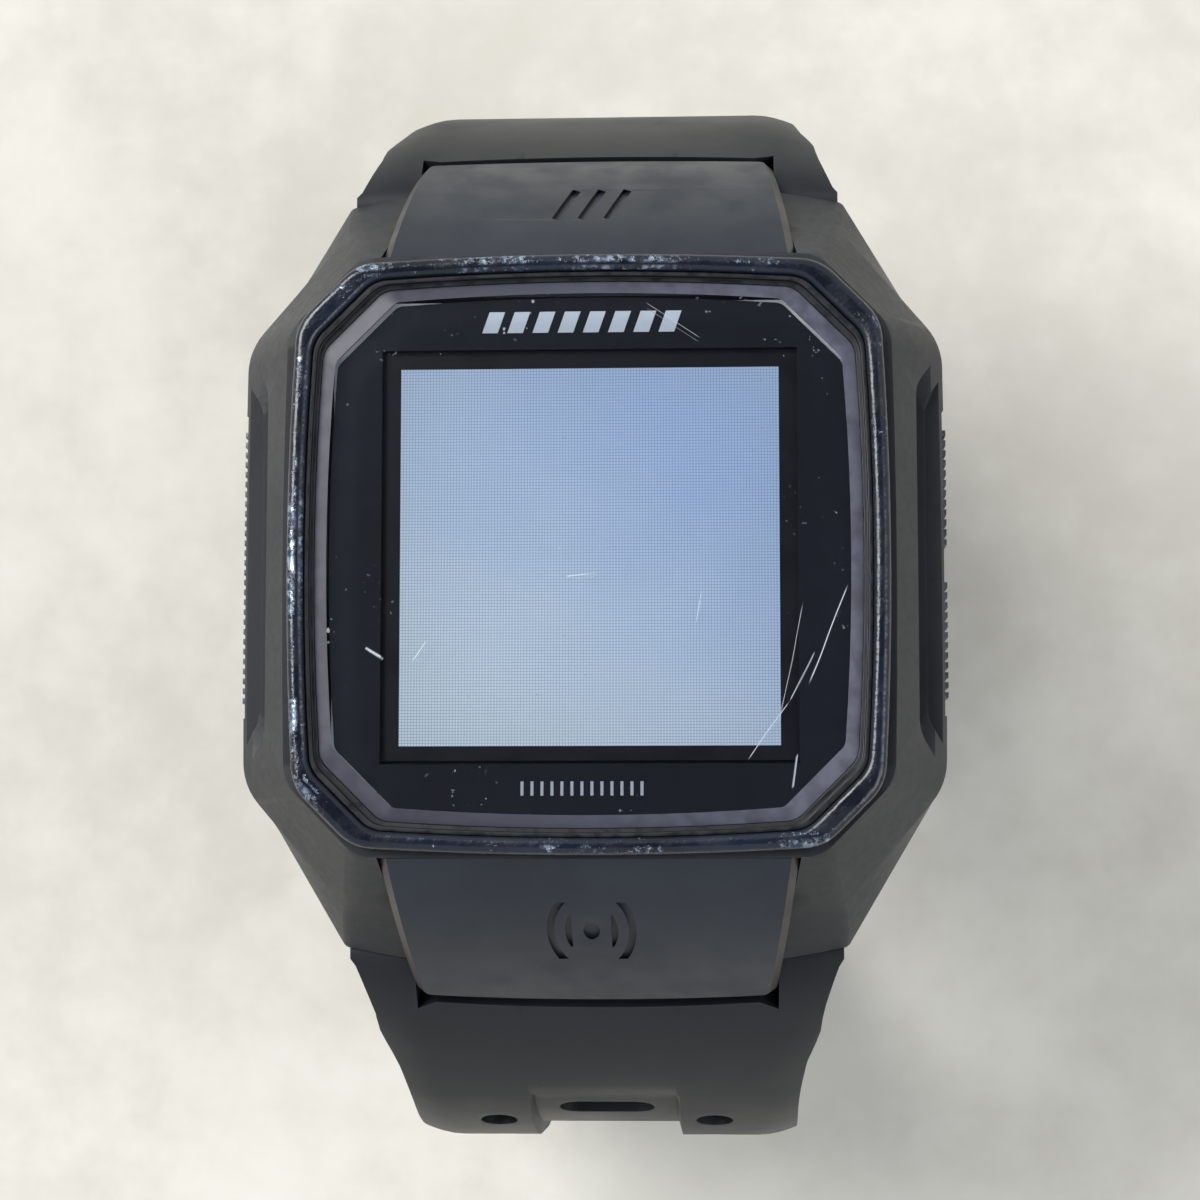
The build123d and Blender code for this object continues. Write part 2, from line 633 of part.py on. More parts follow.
def lower_strap_end():
    """Hole side beyond the flexing zone, down to the table and along it to the rounded tip."""
    start = LOWER_FLEX_AT + FLEX_GAP / 2
    body = strap_piece(LOWER_HEADING, LOWER_RUNS, start, LOWER_LENGTH, 4.2, lower_channel)
    for row in range(2, HOLE_ROWS):
        for cut in hole_cut(LOWER_HEADING, LOWER_RUNS, HOLE_FIRST + row * HOLE_PITCH):
            body -= cut
    tip_y = along(LOWER_HEADING, LOWER_RUNS, LOWER_LENGTH)[0]
    tip_width = strap_width(LOWER_LENGTH, LOWER_LENGTH)
    square = block(-14, 14, tip_y - 1, tip_y + TIP_RADIUS, TABLE_Z - 1, TABLE_Z + 5)
    rounded = Pos(0, tip_y + 20, 0) * RectangleRounded(tip_width, 40, TIP_RADIUS)
    rounded = slab(rounded, TABLE_Z - 2, TABLE_Z + 6)
    body -= square - rounded
    return mirrored(body, -1)


def upper_strap_end():
    """Buckle side beyond the flexing zone, with two eyes round the buckle bar."""
    start = UPPER_FLEX_AT + FLEX_GAP / 2
    eye_end = strap_width(UPPER_LENGTH, UPPER_LENGTH) / 2
    body = strap_piece(UPPER_HEADING, UPPER_RUNS, start, UPPER_LENGTH, 4.0, no_channel)
    for x in (-1, 1):
        near, far = sorted((x * (SLEEVE_HALF + 0.3), x * eye_end))
        body += rod_x(STRAP_THICK / 2, near, far, BAR_Y, BAR_Z)
        body += block(near, far, BAR_Y, BAR_Y + 2, BAR_Z - STRAP_THICK / 2, BAR_Z + STRAP_THICK / 2)
    body -= block(-SLEEVE_HALF - 0.3, SLEEVE_HALF + 0.3, BAR_Y - 3, BAR_Y + 1.9, BAR_Z - 3, BAR_Z + 3)
    return body - rod_x(BAR_RADIUS + RUNNING_FIT, -20, 20, BAR_Y, BAR_Z)


def strap_pin(side):
    """Pin through tongue and ears, tapped at both ends."""
    pin = rod_x(PIN_RADIUS, -PIN_HALF, PIN_HALF, PIN_Y, PIN_Z)
    for x in (-1, 1):
        near, far = sorted((x * (PIN_HALF - 3), x * (PIN_HALF + 0.1)))
        pin -= rod_x(PIN_TAP_RADIUS, near, far, PIN_Y, PIN_Z)
    return mirrored(pin, side)


def pin_screws(side):
    """Slotted screws that close both ends of a pin."""
    screws = []
    for x in (-1, 1):
        seat = x * (PIN_HALF + 0.05)
        head = rod_x(PIN_HEAD_RADIUS, *sorted((seat, x * PIN_HEAD_END)), PIN_Y, PIN_Z)
        shank = rod_x(PIN_TAP_RADIUS, *sorted((x * (PIN_HALF - 2.8), seat)), PIN_Y, PIN_Z)
        slot_ends = sorted((x * (PIN_HEAD_END - 0.3), x * (PIN_HEAD_END + 0.2)))
        slot = block(*slot_ends, PIN_Y - 2, PIN_Y + 2, PIN_Z - 0.18, PIN_Z + 0.18)
        screws.append(mirrored(head + shank - slot, side))
    return screws


def buckle_frame():
    """Open rectangular frame whose arms carry the bar."""
    far = BAR_Y - FRAME_REACH
    low, high = BAR_Z - FRAME_THICK / 2, BAR_Z + FRAME_THICK / 2
    outer = block(-FRAME_OUTER, FRAME_OUTER, far, BAR_Y, low, high)
    outer = fillet(outer.edges().filter_by(Axis.Z).group_by(Axis.Y)[0], 2.0)
    outer += rod_x(FRAME_THICK / 2, -FRAME_OUTER, FRAME_OUTER, BAR_Y, BAR_Z)
    frame = outer - block(-FRAME_INNER, FRAME_INNER, far + FRAME_BAR_WIDTH, BAR_Y + 3, low - 1, high + 1)
    frame -= block(-FRAME_INNER, FRAME_INNER, far - 1, far + FRAME_BAR_WIDTH, low - 1, low + 0.5)
    return frame - rod_x(BAR_RADIUS, -FRAME_OUTER - 1, FRAME_OUTER + 1, BAR_Y, BAR_Z)


def buckle_bar():
    """Bar on which the strap's eyes and the prongs turn."""
    return rod_x(BAR_RADIUS, -FRAME_OUTER, FRAME_OUTER, BAR_Y, BAR_Z)


def buckle_prongs():
    """Sleeve on the bar with two prongs that rest across the frame's far side."""
    sleeve = rod_x(1.45, -SLEEVE_HALF, SLEEVE_HALF, BAR_Y, BAR_Z)
    top = BAR_Z - FRAME_THICK / 2 + 0.4
    for x in (-HOLE_OFFSET, HOLE_OFFSET):
        low_x, high_x = x - PRONG_WIDTH / 2, x + PRONG_WIDTH / 2
        sleeve += block(low_x, high_x, BAR_Y - FRAME_REACH + 0.4, BAR_Y, top - 1.0, top)
    return sleeve - rod_x(BAR_RADIUS + RUNNING_FIT, -20, 20, BAR_Y, BAR_Z)


def strap_keeper():
    """Closed loop round the upper strap with room for the other strap's tail."""
    y, z, heading = along(UPPER_HEADING, UPPER_RUNS, KEEPER_AT)
    low, high = z - KEEPER_ROOM, z + STRAP_THICK + 0.35
    outer = block(-KEEPER_HALF - KEEPER_WALL, KEEPER_HALF + KEEPER_WALL, y - KEEPER_LENGTH / 2,
                  y + KEEPER_LENGTH / 2, low - KEEPER_WALL, high + KEEPER_WALL)
    outer = fillet(outer.edges().filter_by(Axis.Y), 1.1)
    return outer - block(-KEEPER_HALF, KEEPER_HALF, y - 9, y + 9, low, high)


# ---------------------------------------------------------------- writing


def save_case():
    save("case_shell", case_shell())
    save("upper_end_plate", end_plate(1))
    save("lower_end_plate", end_plate(-1))
    save("bezel_ring", bezel_ring())
    save("bezel_gasket", bezel_gasket())
    save("crystal", crystal())
    save("dial_mask", dial_mask())


def save_insides():
    save("lcd_module", lcd_module())
    save("display_frame", display_frame())
    save("display_flex_cable", display_flex_cable())
    save("main_board", main_board())
    save("board_chips", *board_chips())
    save("shield_can", shield_can())
    save("gps_antenna", block(-7.0, 7.0, 7.4, 14.4, -6.2, -3.4))
    save("battery_cell", block(-12.3, 12.3, -13.0, 6.4, -9.8, -5.3))
    save("buzzer", rod_z(3.4, -9.6, -7.2, -6.0, 10.6))
    save("side_switches", *[side_switch(side, y) for side, y in BUTTON_PLACES.values()])


def save_back():
    save("case_back", case_back())
    gasket = octagon(16.9, 16.9, 12.58, 12.58) - octagon(16.3, 16.3, 12.32, 12.32)
    save("case_back_gasket", slab(gasket, CASE_BOTTOM, CASE_BOTTOM + 0.55))
    save("case_back_screws", *[case_back_screw(x, y) for x, y in screw_places()])
    save("contact_block", contact_block())
    contacts = [rod_z(CONTACT_RADIUS, BACK_FACE, CASE_BOTTOM + 0.6, x, CONTACT_Y) for x in contact_places()]
    save("charging_contacts", *contacts)


def save_buttons():
    for name, (side, y) in BUTTON_PLACES.items():
        half_span = BUTTON_HALF_SPAN if side < 0 else (BUTTON_HALF_SPAN - BUTTON_SPLIT / 2) / 2
        save(f"{name}_button_cap", button_cap(side, y, half_span))
        save(f"{name}_button_stem", button_stem(side, y))
        save(f"{name}_button_o_ring", stem_o_ring(side, y))
        save(f"{name}_button_clip", stem_clip(side, y))
        save(f"{name}_button_spring", return_spring(side, y))


def save_straps():
    save("lower_strap_base", lower_strap_base())
    save("lower_strap_end", lower_strap_end())
    save("lower_strap_pin", strap_pin(-1))
    save("upper_strap_base", strap_base(1, UPPER_HEADING, UPPER_RUNS, UPPER_FLEX_AT, no_channel))
    save("upper_strap_end", upper_strap_end())
    save("upper_strap_pin", strap_pin(1))
    save("strap_pin_screws", *pin_screws(1), *pin_screws(-1))
    save("buckle_frame", buckle_frame())
    save("buckle_bar", buckle_bar())
    save("buckle_prongs", buckle_prongs())
    save("strap_keeper", strap_keeper())


def main():
    os.makedirs("parts", exist_ok=True)
    save_case()
    save_insides()
    save_back()
    save_buttons()
    save_straps()


main()
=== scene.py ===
import json
import math

import bmesh
import bpy
from mathutils import Matrix, Vector


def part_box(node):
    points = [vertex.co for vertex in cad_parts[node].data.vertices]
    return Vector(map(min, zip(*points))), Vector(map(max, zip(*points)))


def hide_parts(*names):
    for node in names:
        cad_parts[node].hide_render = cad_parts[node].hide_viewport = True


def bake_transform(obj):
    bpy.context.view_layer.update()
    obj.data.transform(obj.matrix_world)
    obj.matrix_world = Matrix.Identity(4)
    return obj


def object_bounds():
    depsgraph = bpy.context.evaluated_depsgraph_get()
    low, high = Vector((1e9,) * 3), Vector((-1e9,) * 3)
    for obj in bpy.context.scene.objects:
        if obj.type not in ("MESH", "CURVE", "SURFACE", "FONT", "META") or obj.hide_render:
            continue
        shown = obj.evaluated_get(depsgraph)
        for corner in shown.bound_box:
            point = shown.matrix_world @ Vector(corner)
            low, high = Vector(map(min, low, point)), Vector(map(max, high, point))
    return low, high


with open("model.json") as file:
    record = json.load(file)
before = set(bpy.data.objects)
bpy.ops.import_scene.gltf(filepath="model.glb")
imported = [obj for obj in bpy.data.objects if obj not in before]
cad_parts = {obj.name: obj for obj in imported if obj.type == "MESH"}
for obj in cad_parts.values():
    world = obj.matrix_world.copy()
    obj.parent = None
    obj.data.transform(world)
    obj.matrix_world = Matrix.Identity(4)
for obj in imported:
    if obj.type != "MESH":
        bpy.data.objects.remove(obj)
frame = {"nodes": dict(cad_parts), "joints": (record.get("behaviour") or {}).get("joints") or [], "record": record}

cad_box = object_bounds()

# Lengths below are in millimetres from the case centre, on the display's dot plane; place() turns
# them into the frame's metres.
MM = 0.001


def box_middle(node):
    low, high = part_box(node)
    return (low + high) / 2


DOT_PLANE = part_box("lcd_module")[1].z
CASE_MIDDLE = Vector((0.0, box_middle("bezel_ring").y, DOT_PLANE))


def place(x, y, z):
    """Point of the case frame, in metres in the part's frame."""
    return CASE_MIDDLE + Vector((x, y, z)) * MM


# ------------------------------------------------------------------ materials


class Shader:
    """A Principled material with short calls for the nodes behind it."""

    def __init__(self, name, color, roughness=0.5, metallic=0.0, specular=0.5):
        self.material = bpy.data.materials.new(name)
        self.material.use_nodes = True
        self.tree = self.material.node_tree
        self.tree.nodes.clear()
        self.output = self.node("ShaderNodeOutputMaterial")
        self.surface = self.node("ShaderNodeBsdfPrincipled")
        self.surface.inputs["Base Color"].default_value = (*color, 1)
        self.surface.inputs["Roughness"].default_value = roughness
        self.surface.inputs["Metallic"].default_value = metallic
        self.surface.inputs["Specular IOR Level"].default_value = specular
        self.link(self.surface.outputs[0], self.output.inputs["Surface"])
        self.coords = self.node("ShaderNodeTexCoord").outputs["Object"]
        self.normal = self.node("ShaderNodeTexCoord").outputs["Normal"]

    def across(self, index, middle, unit=MM):
        """Distance from a middle along one axis, in millimetres or another unit."""
        return self.math("DIVIDE", self.math("SUBTRACT", self.axis(self.coords, index), middle), unit)

    def node(self, kind, **settings):
        made = self.tree.nodes.new(kind)
        for key, value in settings.items():
            setattr(made, key, value)
        return made

    def link(self, source, target):
        self.tree.links.new(source, target)

    def feed(self, socket, value):
        if hasattr(value, "is_output"):
            self.link(value, socket)
        else:
            socket.default_value = value

    def set(self, name, value):
        self.feed(self.surface.inputs[name], value)

    def math(self, operation, first, second=0.0, clamp=False):
        made = self.node("ShaderNodeMath", operation=operation, use_clamp=clamp)
        self.feed(made.inputs[0], first)
        self.feed(made.inputs[1], second)
        return made.outputs[0]

    def axis(self, vector, index):
        made = self.node("ShaderNodeSeparateXYZ")
        self.link(vector, made.inputs[0])
        return made.outputs[index]

    def scaled(self, vector, scale, turn=(0, 0, 0)):
        made = self.node("ShaderNodeMapping")
        self.link(vector, made.inputs["Vector"])
        made.inputs["Scale"].default_value = scale
        made.inputs["Rotation"].default_value = turn
        return made.outputs[0]

    def noise(self, size_mm, detail=3.0, rough=0.5, distort=0.0, vector=None):
        made = self.node("ShaderNodeTexNoise")
        self.link(vector or self.coords, made.inputs["Vector"])
        made.inputs["Scale"].default_value = 1000.0 / size_mm
        made.inputs["Detail"].default_value = detail
        made.inputs["Roughness"].default_value = rough
        made.inputs["Distortion"].default_value = distort
        return made.outputs["Fac"]

    def span(self, value, low, high, to_low=0.0, to_high=1.0):
        """Stretches value from low..high to to_low..to_high, held at the ends."""
        made = self.node("ShaderNodeMapRange", interpolation_type="SMOOTHSTEP")
        for socket, number in zip(made.inputs[:5], (value, low, high, to_low, to_high)):
            self.feed(socket, number)
        return made.outputs[0]

    def blend(self, share, first, second):
        made = self.node("ShaderNodeMix", data_type="RGBA")
        self.feed(made.inputs["Factor"], share)
        for socket, color in ((made.inputs[6], first), (made.inputs[7], second)):
            self.feed(socket, color if hasattr(color, "is_output") else (*color, 1))
        return made.outputs[2]

    def bump(self, height, distance_mm, strength=1.0, before=None):
        made = self.node("ShaderNodeBump")
        made.inputs["Strength"].default_value = strength
        made.inputs["Distance"].default_value = distance_mm * MM
        self.feed(made.inputs["Height"], height)
        if before is not None:
            self.link(before, made.inputs["Normal"])
        return made.outputs[0]

    def edges(self, radius_mm):
        """1 on edges and corners, 0 on flats."""
        soft = self.node("ShaderNodeBevel", samples=6)
        soft.inputs["Radius"].default_value = radius_mm * MM
        sharp = self.node("ShaderNodeNewGeometry").outputs["Normal"]
        dot = self.node("ShaderNodeVectorMath", operation="DOT_PRODUCT")
        self.link(soft.outputs[0], dot.inputs[0])
        self.link(sharp, dot.inputs[1])
        return self.math("SUBTRACT", 1.0, dot.outputs["Value"])

    def short_scratches(self, cell_mm, width_mm, length_mm, share):
        """One straight scratch in some cells of an uneven grid, each at its own angle."""
        cells = self.node("ShaderNodeTexVoronoi", voronoi_dimensions="2D")
        cells.inputs["Scale"].default_value = 1000.0 / cell_mm
        self.link(self.coords, cells.inputs["Vector"])
        scaled = self.scaled(self.coords, (1000.0 / cell_mm,) * 3)
        away = self.node("ShaderNodeVectorMath", operation="SUBTRACT")
        self.link(scaled, away.inputs[0])
        self.link(cells.outputs["Position"], away.inputs[1])
        angle = self.math("MULTIPLY", self.axis(cells.outputs["Color"], 0), 2 * math.pi)
        turned = self.node("ShaderNodeVectorRotate", rotation_type="Z_AXIS")
        self.link(away.outputs[0], turned.inputs["Vector"])
        self.link(angle, turned.inputs["Angle"])
        along = self.math("ABSOLUTE", self.axis(turned.outputs[0], 0))
        across = self.math("ABSOLUTE", self.axis(turned.outputs[0], 1))
        reach = self.math("MULTIPLY", self.axis(cells.outputs["Color"], 1), length_mm / cell_mm)
        inside = self.math("LESS_THAN", along, reach)
        thin = self.span(across, 0.0, width_mm / cell_mm, 1.0, 0.0)
        chosen = self.math("LESS_THAN", self.axis(cells.outputs["Color"], 2), share)
        return self.math("MULTIPLY", self.math("MULTIPLY", inside, thin), chosen)

    def long_scratch(self, start, end, width_mm, sway_mm=0.4):
        """One long scratch between two places on the glass, in case millimetres, slightly wavy."""
        first, last = place(*start, 0), place(*end, 0)
        run = last - first
        wander = self.node("ShaderNodeTexNoise", noise_dimensions="3D")
        self.link(self.coords, wander.inputs["Vector"])
        wander.inputs["Scale"].default_value = 160
        wander.inputs["Detail"].default_value = 1
        sway = self.math("MULTIPLY", self.math("SUBTRACT", wander.outputs["Fac"], 0.5), sway_mm * MM)
        x = self.math("SUBTRACT", self.math("ADD", self.axis(self.coords, 0), sway), first.x)
        y = self.math("SUBTRACT", self.axis(self.coords, 1), first.y)
        length = math.hypot(run.x, run.y)
        along = self.math("ADD", self.math("MULTIPLY", x, run.x / length),
                          self.math("MULTIPLY", y, run.y / length))
        across = self.math("SUBTRACT", self.math("MULTIPLY", x, run.y / length),
                           self.math("MULTIPLY", y, run.x / length))
        thin = self.span(self.math("ABSOLUTE", across), 0.0, width_mm * MM, 1.0, 0.0)
        started = self.span(along, 0.0, 0.1 * length, 0.0, 1.0)
        ended = self.span(along, 0.9 * length, length, 1.0, 0.0)
        return self.math("MULTIPLY", thin, self.math("MULTIPLY", started, ended))


def moulded_plastic(name, color, tint, grain, roughness, rub, rub_color):
    """Fine-grained moulded plastic with cloudy handling marks and paler rubbed edges."""
    made = Shader(name, color, roughness)
    cloud = made.noise(14.0, 4.0, 0.6)
    speck = made.noise(0.6, 2.0, 0.6)
    base = made.blend(made.span(cloud, 0.3, 0.7), color, tint)
    worn = made.math("MULTIPLY", made.span(made.edges(0.35), 0.02, 0.22),
                     made.span(made.noise(2.2, 4.0), 0.35, 0.62))
    made.set("Base Color", made.blend(made.math("MULTIPLY", worn, rub), base, rub_color))
    made.set("Roughness", made.span(made.math("ADD", cloud, made.math("MULTIPLY", speck, 0.5)), 0.4, 1.1,
                                    roughness - 0.08, roughness + 0.1))
    fine = made.bump(made.noise(grain, 2.0, 0.6), 0.012, 0.55)
    made.set("Normal", made.bump(speck, 0.01, 0.3, fine))
    return made


def case_plastic():
    made = moulded_plastic("case_plastic", (0.0105, 0.0130, 0.0175), (0.0150, 0.0175, 0.0230), 0.16, 0.46,
                           0.3, (0.055, 0.056, 0.058))
    made.set("Specular IOR Level", 0.4)
    return made.material


def plate_plastic():
    """Bluish satin plates, painted a paler, warmer grey on their side- and downward-facing faces as a painted
    reflection, crossed by hair scratches.
    """
    made = Shader("plate_plastic", (0.02, 0.024, 0.03), 0.42, 0.0, 0.4)
    cloud = made.noise(9.0, 4.0, 0.6)
    face = made.blend(made.span(cloud, 0.3, 0.7), (0.0140, 0.0190, 0.0280), (0.0185, 0.0250, 0.0365))
    # painted reflection: faces turned sideways or downwards are painted a paler, warmer grey
    side = made.math("ABSOLUTE", made.axis(made.normal, 0))
    low = made.axis(made.normal, 2)
    painted_rim_light = made.math("MAXIMUM", made.span(side, 0.12, 0.3), made.span(low, 0.12, 0.3, 1.0, 0.0))
    face = made.blend(painted_rim_light, face, (0.040, 0.034, 0.033))
    scratch = made.math("MAXIMUM", made.short_scratches(3.4, 0.03, 2.6, 0.35),
                        made.short_scratches(7.0, 0.035, 6.0, 0.5))
    broken = made.math("MULTIPLY", scratch, made.span(made.noise(1.2), 0.42, 0.6))
    made.set("Base Color", made.blend(made.math("MULTIPLY", broken, 0.3), face, (0.11, 0.12, 0.13)))
    made.set("Roughness", made.span(made.noise(3.0, 5.0), 0.3, 0.75, 0.34, 0.52))
    made.set("Normal", made.bump(made.noise(0.2, 2.0), 0.008, 0.5))
    return made.material


EDGE_HALF, EDGE_BOW, CORNER_SHIFT = 14.0, 0.45, 4.25


def ring_distance(made):
    """Distance outwards in the bezel's own octagon, in millimetres: the same all along each of its edges."""
    x = made.math("ABSOLUTE", made.across(0, CASE_MIDDLE.x))
    y = made.math("ABSOLUTE", made.across(1, CASE_MIDDLE.y))
    bow_x = made.math("MULTIPLY", made.math("POWER", made.math("DIVIDE", y, EDGE_HALF), 2.0), EDGE_BOW)
    bow_y = made.math("MULTIPLY", made.math("POWER", made.math("DIVIDE", x, EDGE_HALF), 2.0), EDGE_BOW)
    sides = made.math("MAXIMUM", made.math("ADD", x, bow_x), made.math("ADD", y, bow_y))
    diagonal = made.math("MULTIPLY", made.math("ADD", x, y), math.sqrt(0.5))
    corner = made.math("SUBTRACT", diagonal, CORNER_SHIFT)
    return made.math("MAXIMUM", sides, corner)


def bezel_coating():
    """Glossy dark navy coating, dented, and rubbed to bright metal most on its left and upper edges."""
    made = Shader("bezel_coating", (0.004, 0.007, 0.014), 0.22, 0.0, 0.6)
    ring = ring_distance(made)
    x, y = made.axis(made.coords, 0), made.axis(made.coords, 1)
    left = made.span(x, -17.5 * MM, -14.5 * MM, 1.0, 0.0)
    high = made.span(y, CASE_MIDDLE.y + 14.5 * MM, CASE_MIDDLE.y + 17.5 * MM, 0.0, 0.75)
    low = made.span(y, CASE_MIDDLE.y - 17.5 * MM, CASE_MIDDLE.y - 15.0 * MM, 0.6, 0.0)
    share = made.math("MAXIMUM", 0.25, made.math("MAXIMUM", left, made.math("MAXIMUM", high, low)))
    outer_edge = made.math("MULTIPLY", made.span(ring, 17.45, 17.75), made.span(ring, 17.95, 18.12, 1.0, 0.0))
    inner_edge = made.math("MULTIPLY", made.span(ring, 17.28, 17.4, 0.6, 0.0), made.span(ring, 17.1, 17.16))
    fine = made.math("MULTIPLY", made.noise(0.35, 3.0, 0.75), 0.6)
    grit = made.math("ADD", made.noise(4.5, 4.0, 0.6), fine)
    chips = made.span(grit, made.math("SUBTRACT", 0.98, made.math("MULTIPLY", share, 0.18)),
                      made.math("SUBTRACT", 1.06, made.math("MULTIPLY", share, 0.18)))
    wear = made.math("MULTIPLY", made.math("MAXIMUM", outer_edge, inner_edge), chips)
    scuff = made.math("MULTIPLY", made.short_scratches(0.7, 0.05, 0.6, 0.5),
                      made.math("MULTIPLY", share, 0.5))
    wear = made.math("MAXIMUM", wear, scuff)
    tone = made.blend(made.span(made.noise(6.0), 0.35, 0.7), (0.0035, 0.006, 0.013), (0.008, 0.013, 0.027))
    metal = made.blend(made.span(made.noise(0.5), 0.4, 0.65), (0.05, 0.075, 0.12), (0.36, 0.44, 0.56))
    made.set("Base Color", made.blend(wear, tone, metal))
    made.set("Metallic", made.math("MULTIPLY", wear, 0.7))
    made.set("Roughness", made.span(made.noise(1.6, 4.0), 0.35, 0.7, 0.16, 0.32))
    dents = made.bump(made.noise(1.1, 3.0, 0.6), 0.12, 0.6)
    made.set("Normal", made.bump(made.math("SUBTRACT", 1.0, wear), 0.03, 0.6, dents))
    return made.material


GLASS_LONG_SCRATCHES = [  # start, end, width
    ((15.6, -2.0), (13.1, -8.0), 0.05), ((13.5, -6.0), (12.0, -9.0), 0.035),
    ((12.0, -9.0), (9.5, -12.5), 0.035), ((12.5, -12.1), (12.2, -14.2), 0.05),
    ((-12.4, -6.3), (-13.4, -5.7), 0.12), ((12.9, -3.0), (11.3, -10.6), 0.02),
    ((6.8, -2.4), (6.4, -4.3), 0.03), ((-9.7, -5.3), (-10.6, -6.6), 0.05), ((3.4, 15.2), (6.8, 12.9), 0.02),
]


def glass():
    """Clear scratched glass; its bevel is an opaque grey-lilac band, a painted reflection that is darker on the
    left and paler on the right, with a faint mottle.
    """
    made = Shader("glass", (0.02, 0.02, 0.025), 0.06, 0.0, 0.5)
    small = made.math("MAXIMUM", made.short_scratches(0.8, 0.06, 0.5, 0.32),
                      made.short_scratches(2.2, 0.05, 1.9, 0.5))
    small = made.math("MULTIPLY", small, made.span(made.noise(3.0), 0.36, 0.56, 0.06, 1.0))
    dust = made.span(made.noise(0.35, 1.0), 0.74, 0.78)
    dust = made.math("MULTIPLY", dust, made.span(made.noise(6.0, 3.0), 0.5, 0.7, 0.0, 0.6))
    marks = made.math("MAXIMUM", small, dust)
    for start, end, width in GLASS_LONG_SCRATCHES:
        marks = made.math("MAXIMUM", marks, made.long_scratch(start, end, width))
    up = made.axis(made.normal, 2)
    bevel = made.math("MULTIPLY", made.span(up, 0.965, 0.985, 1.0, 0.0), made.math("GREATER_THAN", up, 0.5))
    # painted reflection: the bevel band is an opaque colour, darker on the left and paler on the right, with a
    # faint mottle
    painted_light_rightwards = made.span(made.axis(made.coords, 0), -17 * MM, 17 * MM)
    lilac = made.blend(painted_light_rightwards, (0.036, 0.038, 0.055), (0.095, 0.099, 0.140))
    mottled_painted_reflection = made.blend(made.span(made.noise(1.1, 4.0), 0.35, 0.7), lilac, (0.055, 0.057, 0.080))
    made.set("Base Color", made.blend(bevel, (0.75, 0.8, 0.86), mottled_painted_reflection))
    made.set("Roughness", made.span(bevel, 0.0, 1.0, 0.08, 0.42))
    fresnel = made.node("ShaderNodeFresnel")
    fresnel.inputs["IOR"].default_value = 1.42
    shine = made.node("ShaderNodeBsdfGlossy")
    shine.inputs["Roughness"].default_value = 0.05
    shine.inputs["Color"].default_value = (0.8, 0.85, 0.95, 1)
    clear = made.node("ShaderNodeBsdfTransparent")
    clear.inputs["Color"].default_value = (0.93, 0.95, 0.97, 1)
    pane = made.node("ShaderNodeMixShader")
    made.link(fresnel.outputs[0], pane.inputs[0])
    made.link(clear.outputs[0], pane.inputs[1])
    made.link(shine.outputs[0], pane.inputs[2])
    whole = made.node("ShaderNodeMixShader")
    made.link(made.math("MAXIMUM", bevel, made.math("MULTIPLY", marks, 0.6)), whole.inputs[0])
    made.link(pane.outputs[0], whole.inputs[1])
    made.link(made.surface.outputs[0], whole.inputs[2])
    made.link(whole.outputs[0], made.output.inputs["Surface"])
    return made.material


def bar_row(made, middle, size, period, filled, slant):
    """Mask of a row of upright or slanted bars, in case millimetres."""
    centre = place(*middle, 0)
    x = made.across(0, centre.x)
    y = made.across(1, centre.y)
    leaning = made.math("SUBTRACT", x, made.math("MULTIPLY", y, slant))
    inside = made.math("LESS_THAN", made.math("ABSOLUTE", leaning), size[0] / 2)
    inside = made.math("MULTIPLY", inside, made.math("LESS_THAN", made.math("ABSOLUTE", y), size[1] / 2))
    count = made.math("DIVIDE", made.math("ADD", leaning, size[0] / 2), period)
    step = made.math("FRACT", made.math("ADD", count, 100.0))
    return made.math("MULTIPLY", inside, made.math("LESS_THAN", step, filled))


def dial_print():
    """Blue-black print with a plain row of slanted bars above the display and small ticks below it."""
    made = Shader("print", (0.006, 0.008, 0.016), 0.5, 0.0, 0.25)
    tone = made.blend(made.span(made.noise(11.0, 3.0), 0.3, 0.7),
                      (0.0025, 0.004, 0.009), (0.005, 0.007, 0.014))
    upper = bar_row(made, (-0.15, 14.3), (12.3, 1.3), 1.5375, 0.62, 0.35)
    lower = bar_row(made, (-0.2, -14.1), (7.8, 0.85), 0.6, 0.3, 0.0)
    marks = made.math("MAXIMUM", upper, made.math("MULTIPLY", lower, 0.8))
    made.set("Base Color", made.blend(marks, tone, (0.75, 0.78, 0.82)))
    made.set("Roughness", made.span(made.noise(2.0), 0.3, 0.7, 0.45, 0.6))
    made.set("Normal", made.bump(made.noise(0.4), 0.001, 0.3))
    return made.material


DOTS = 128
DOT_PITCH = 0.18


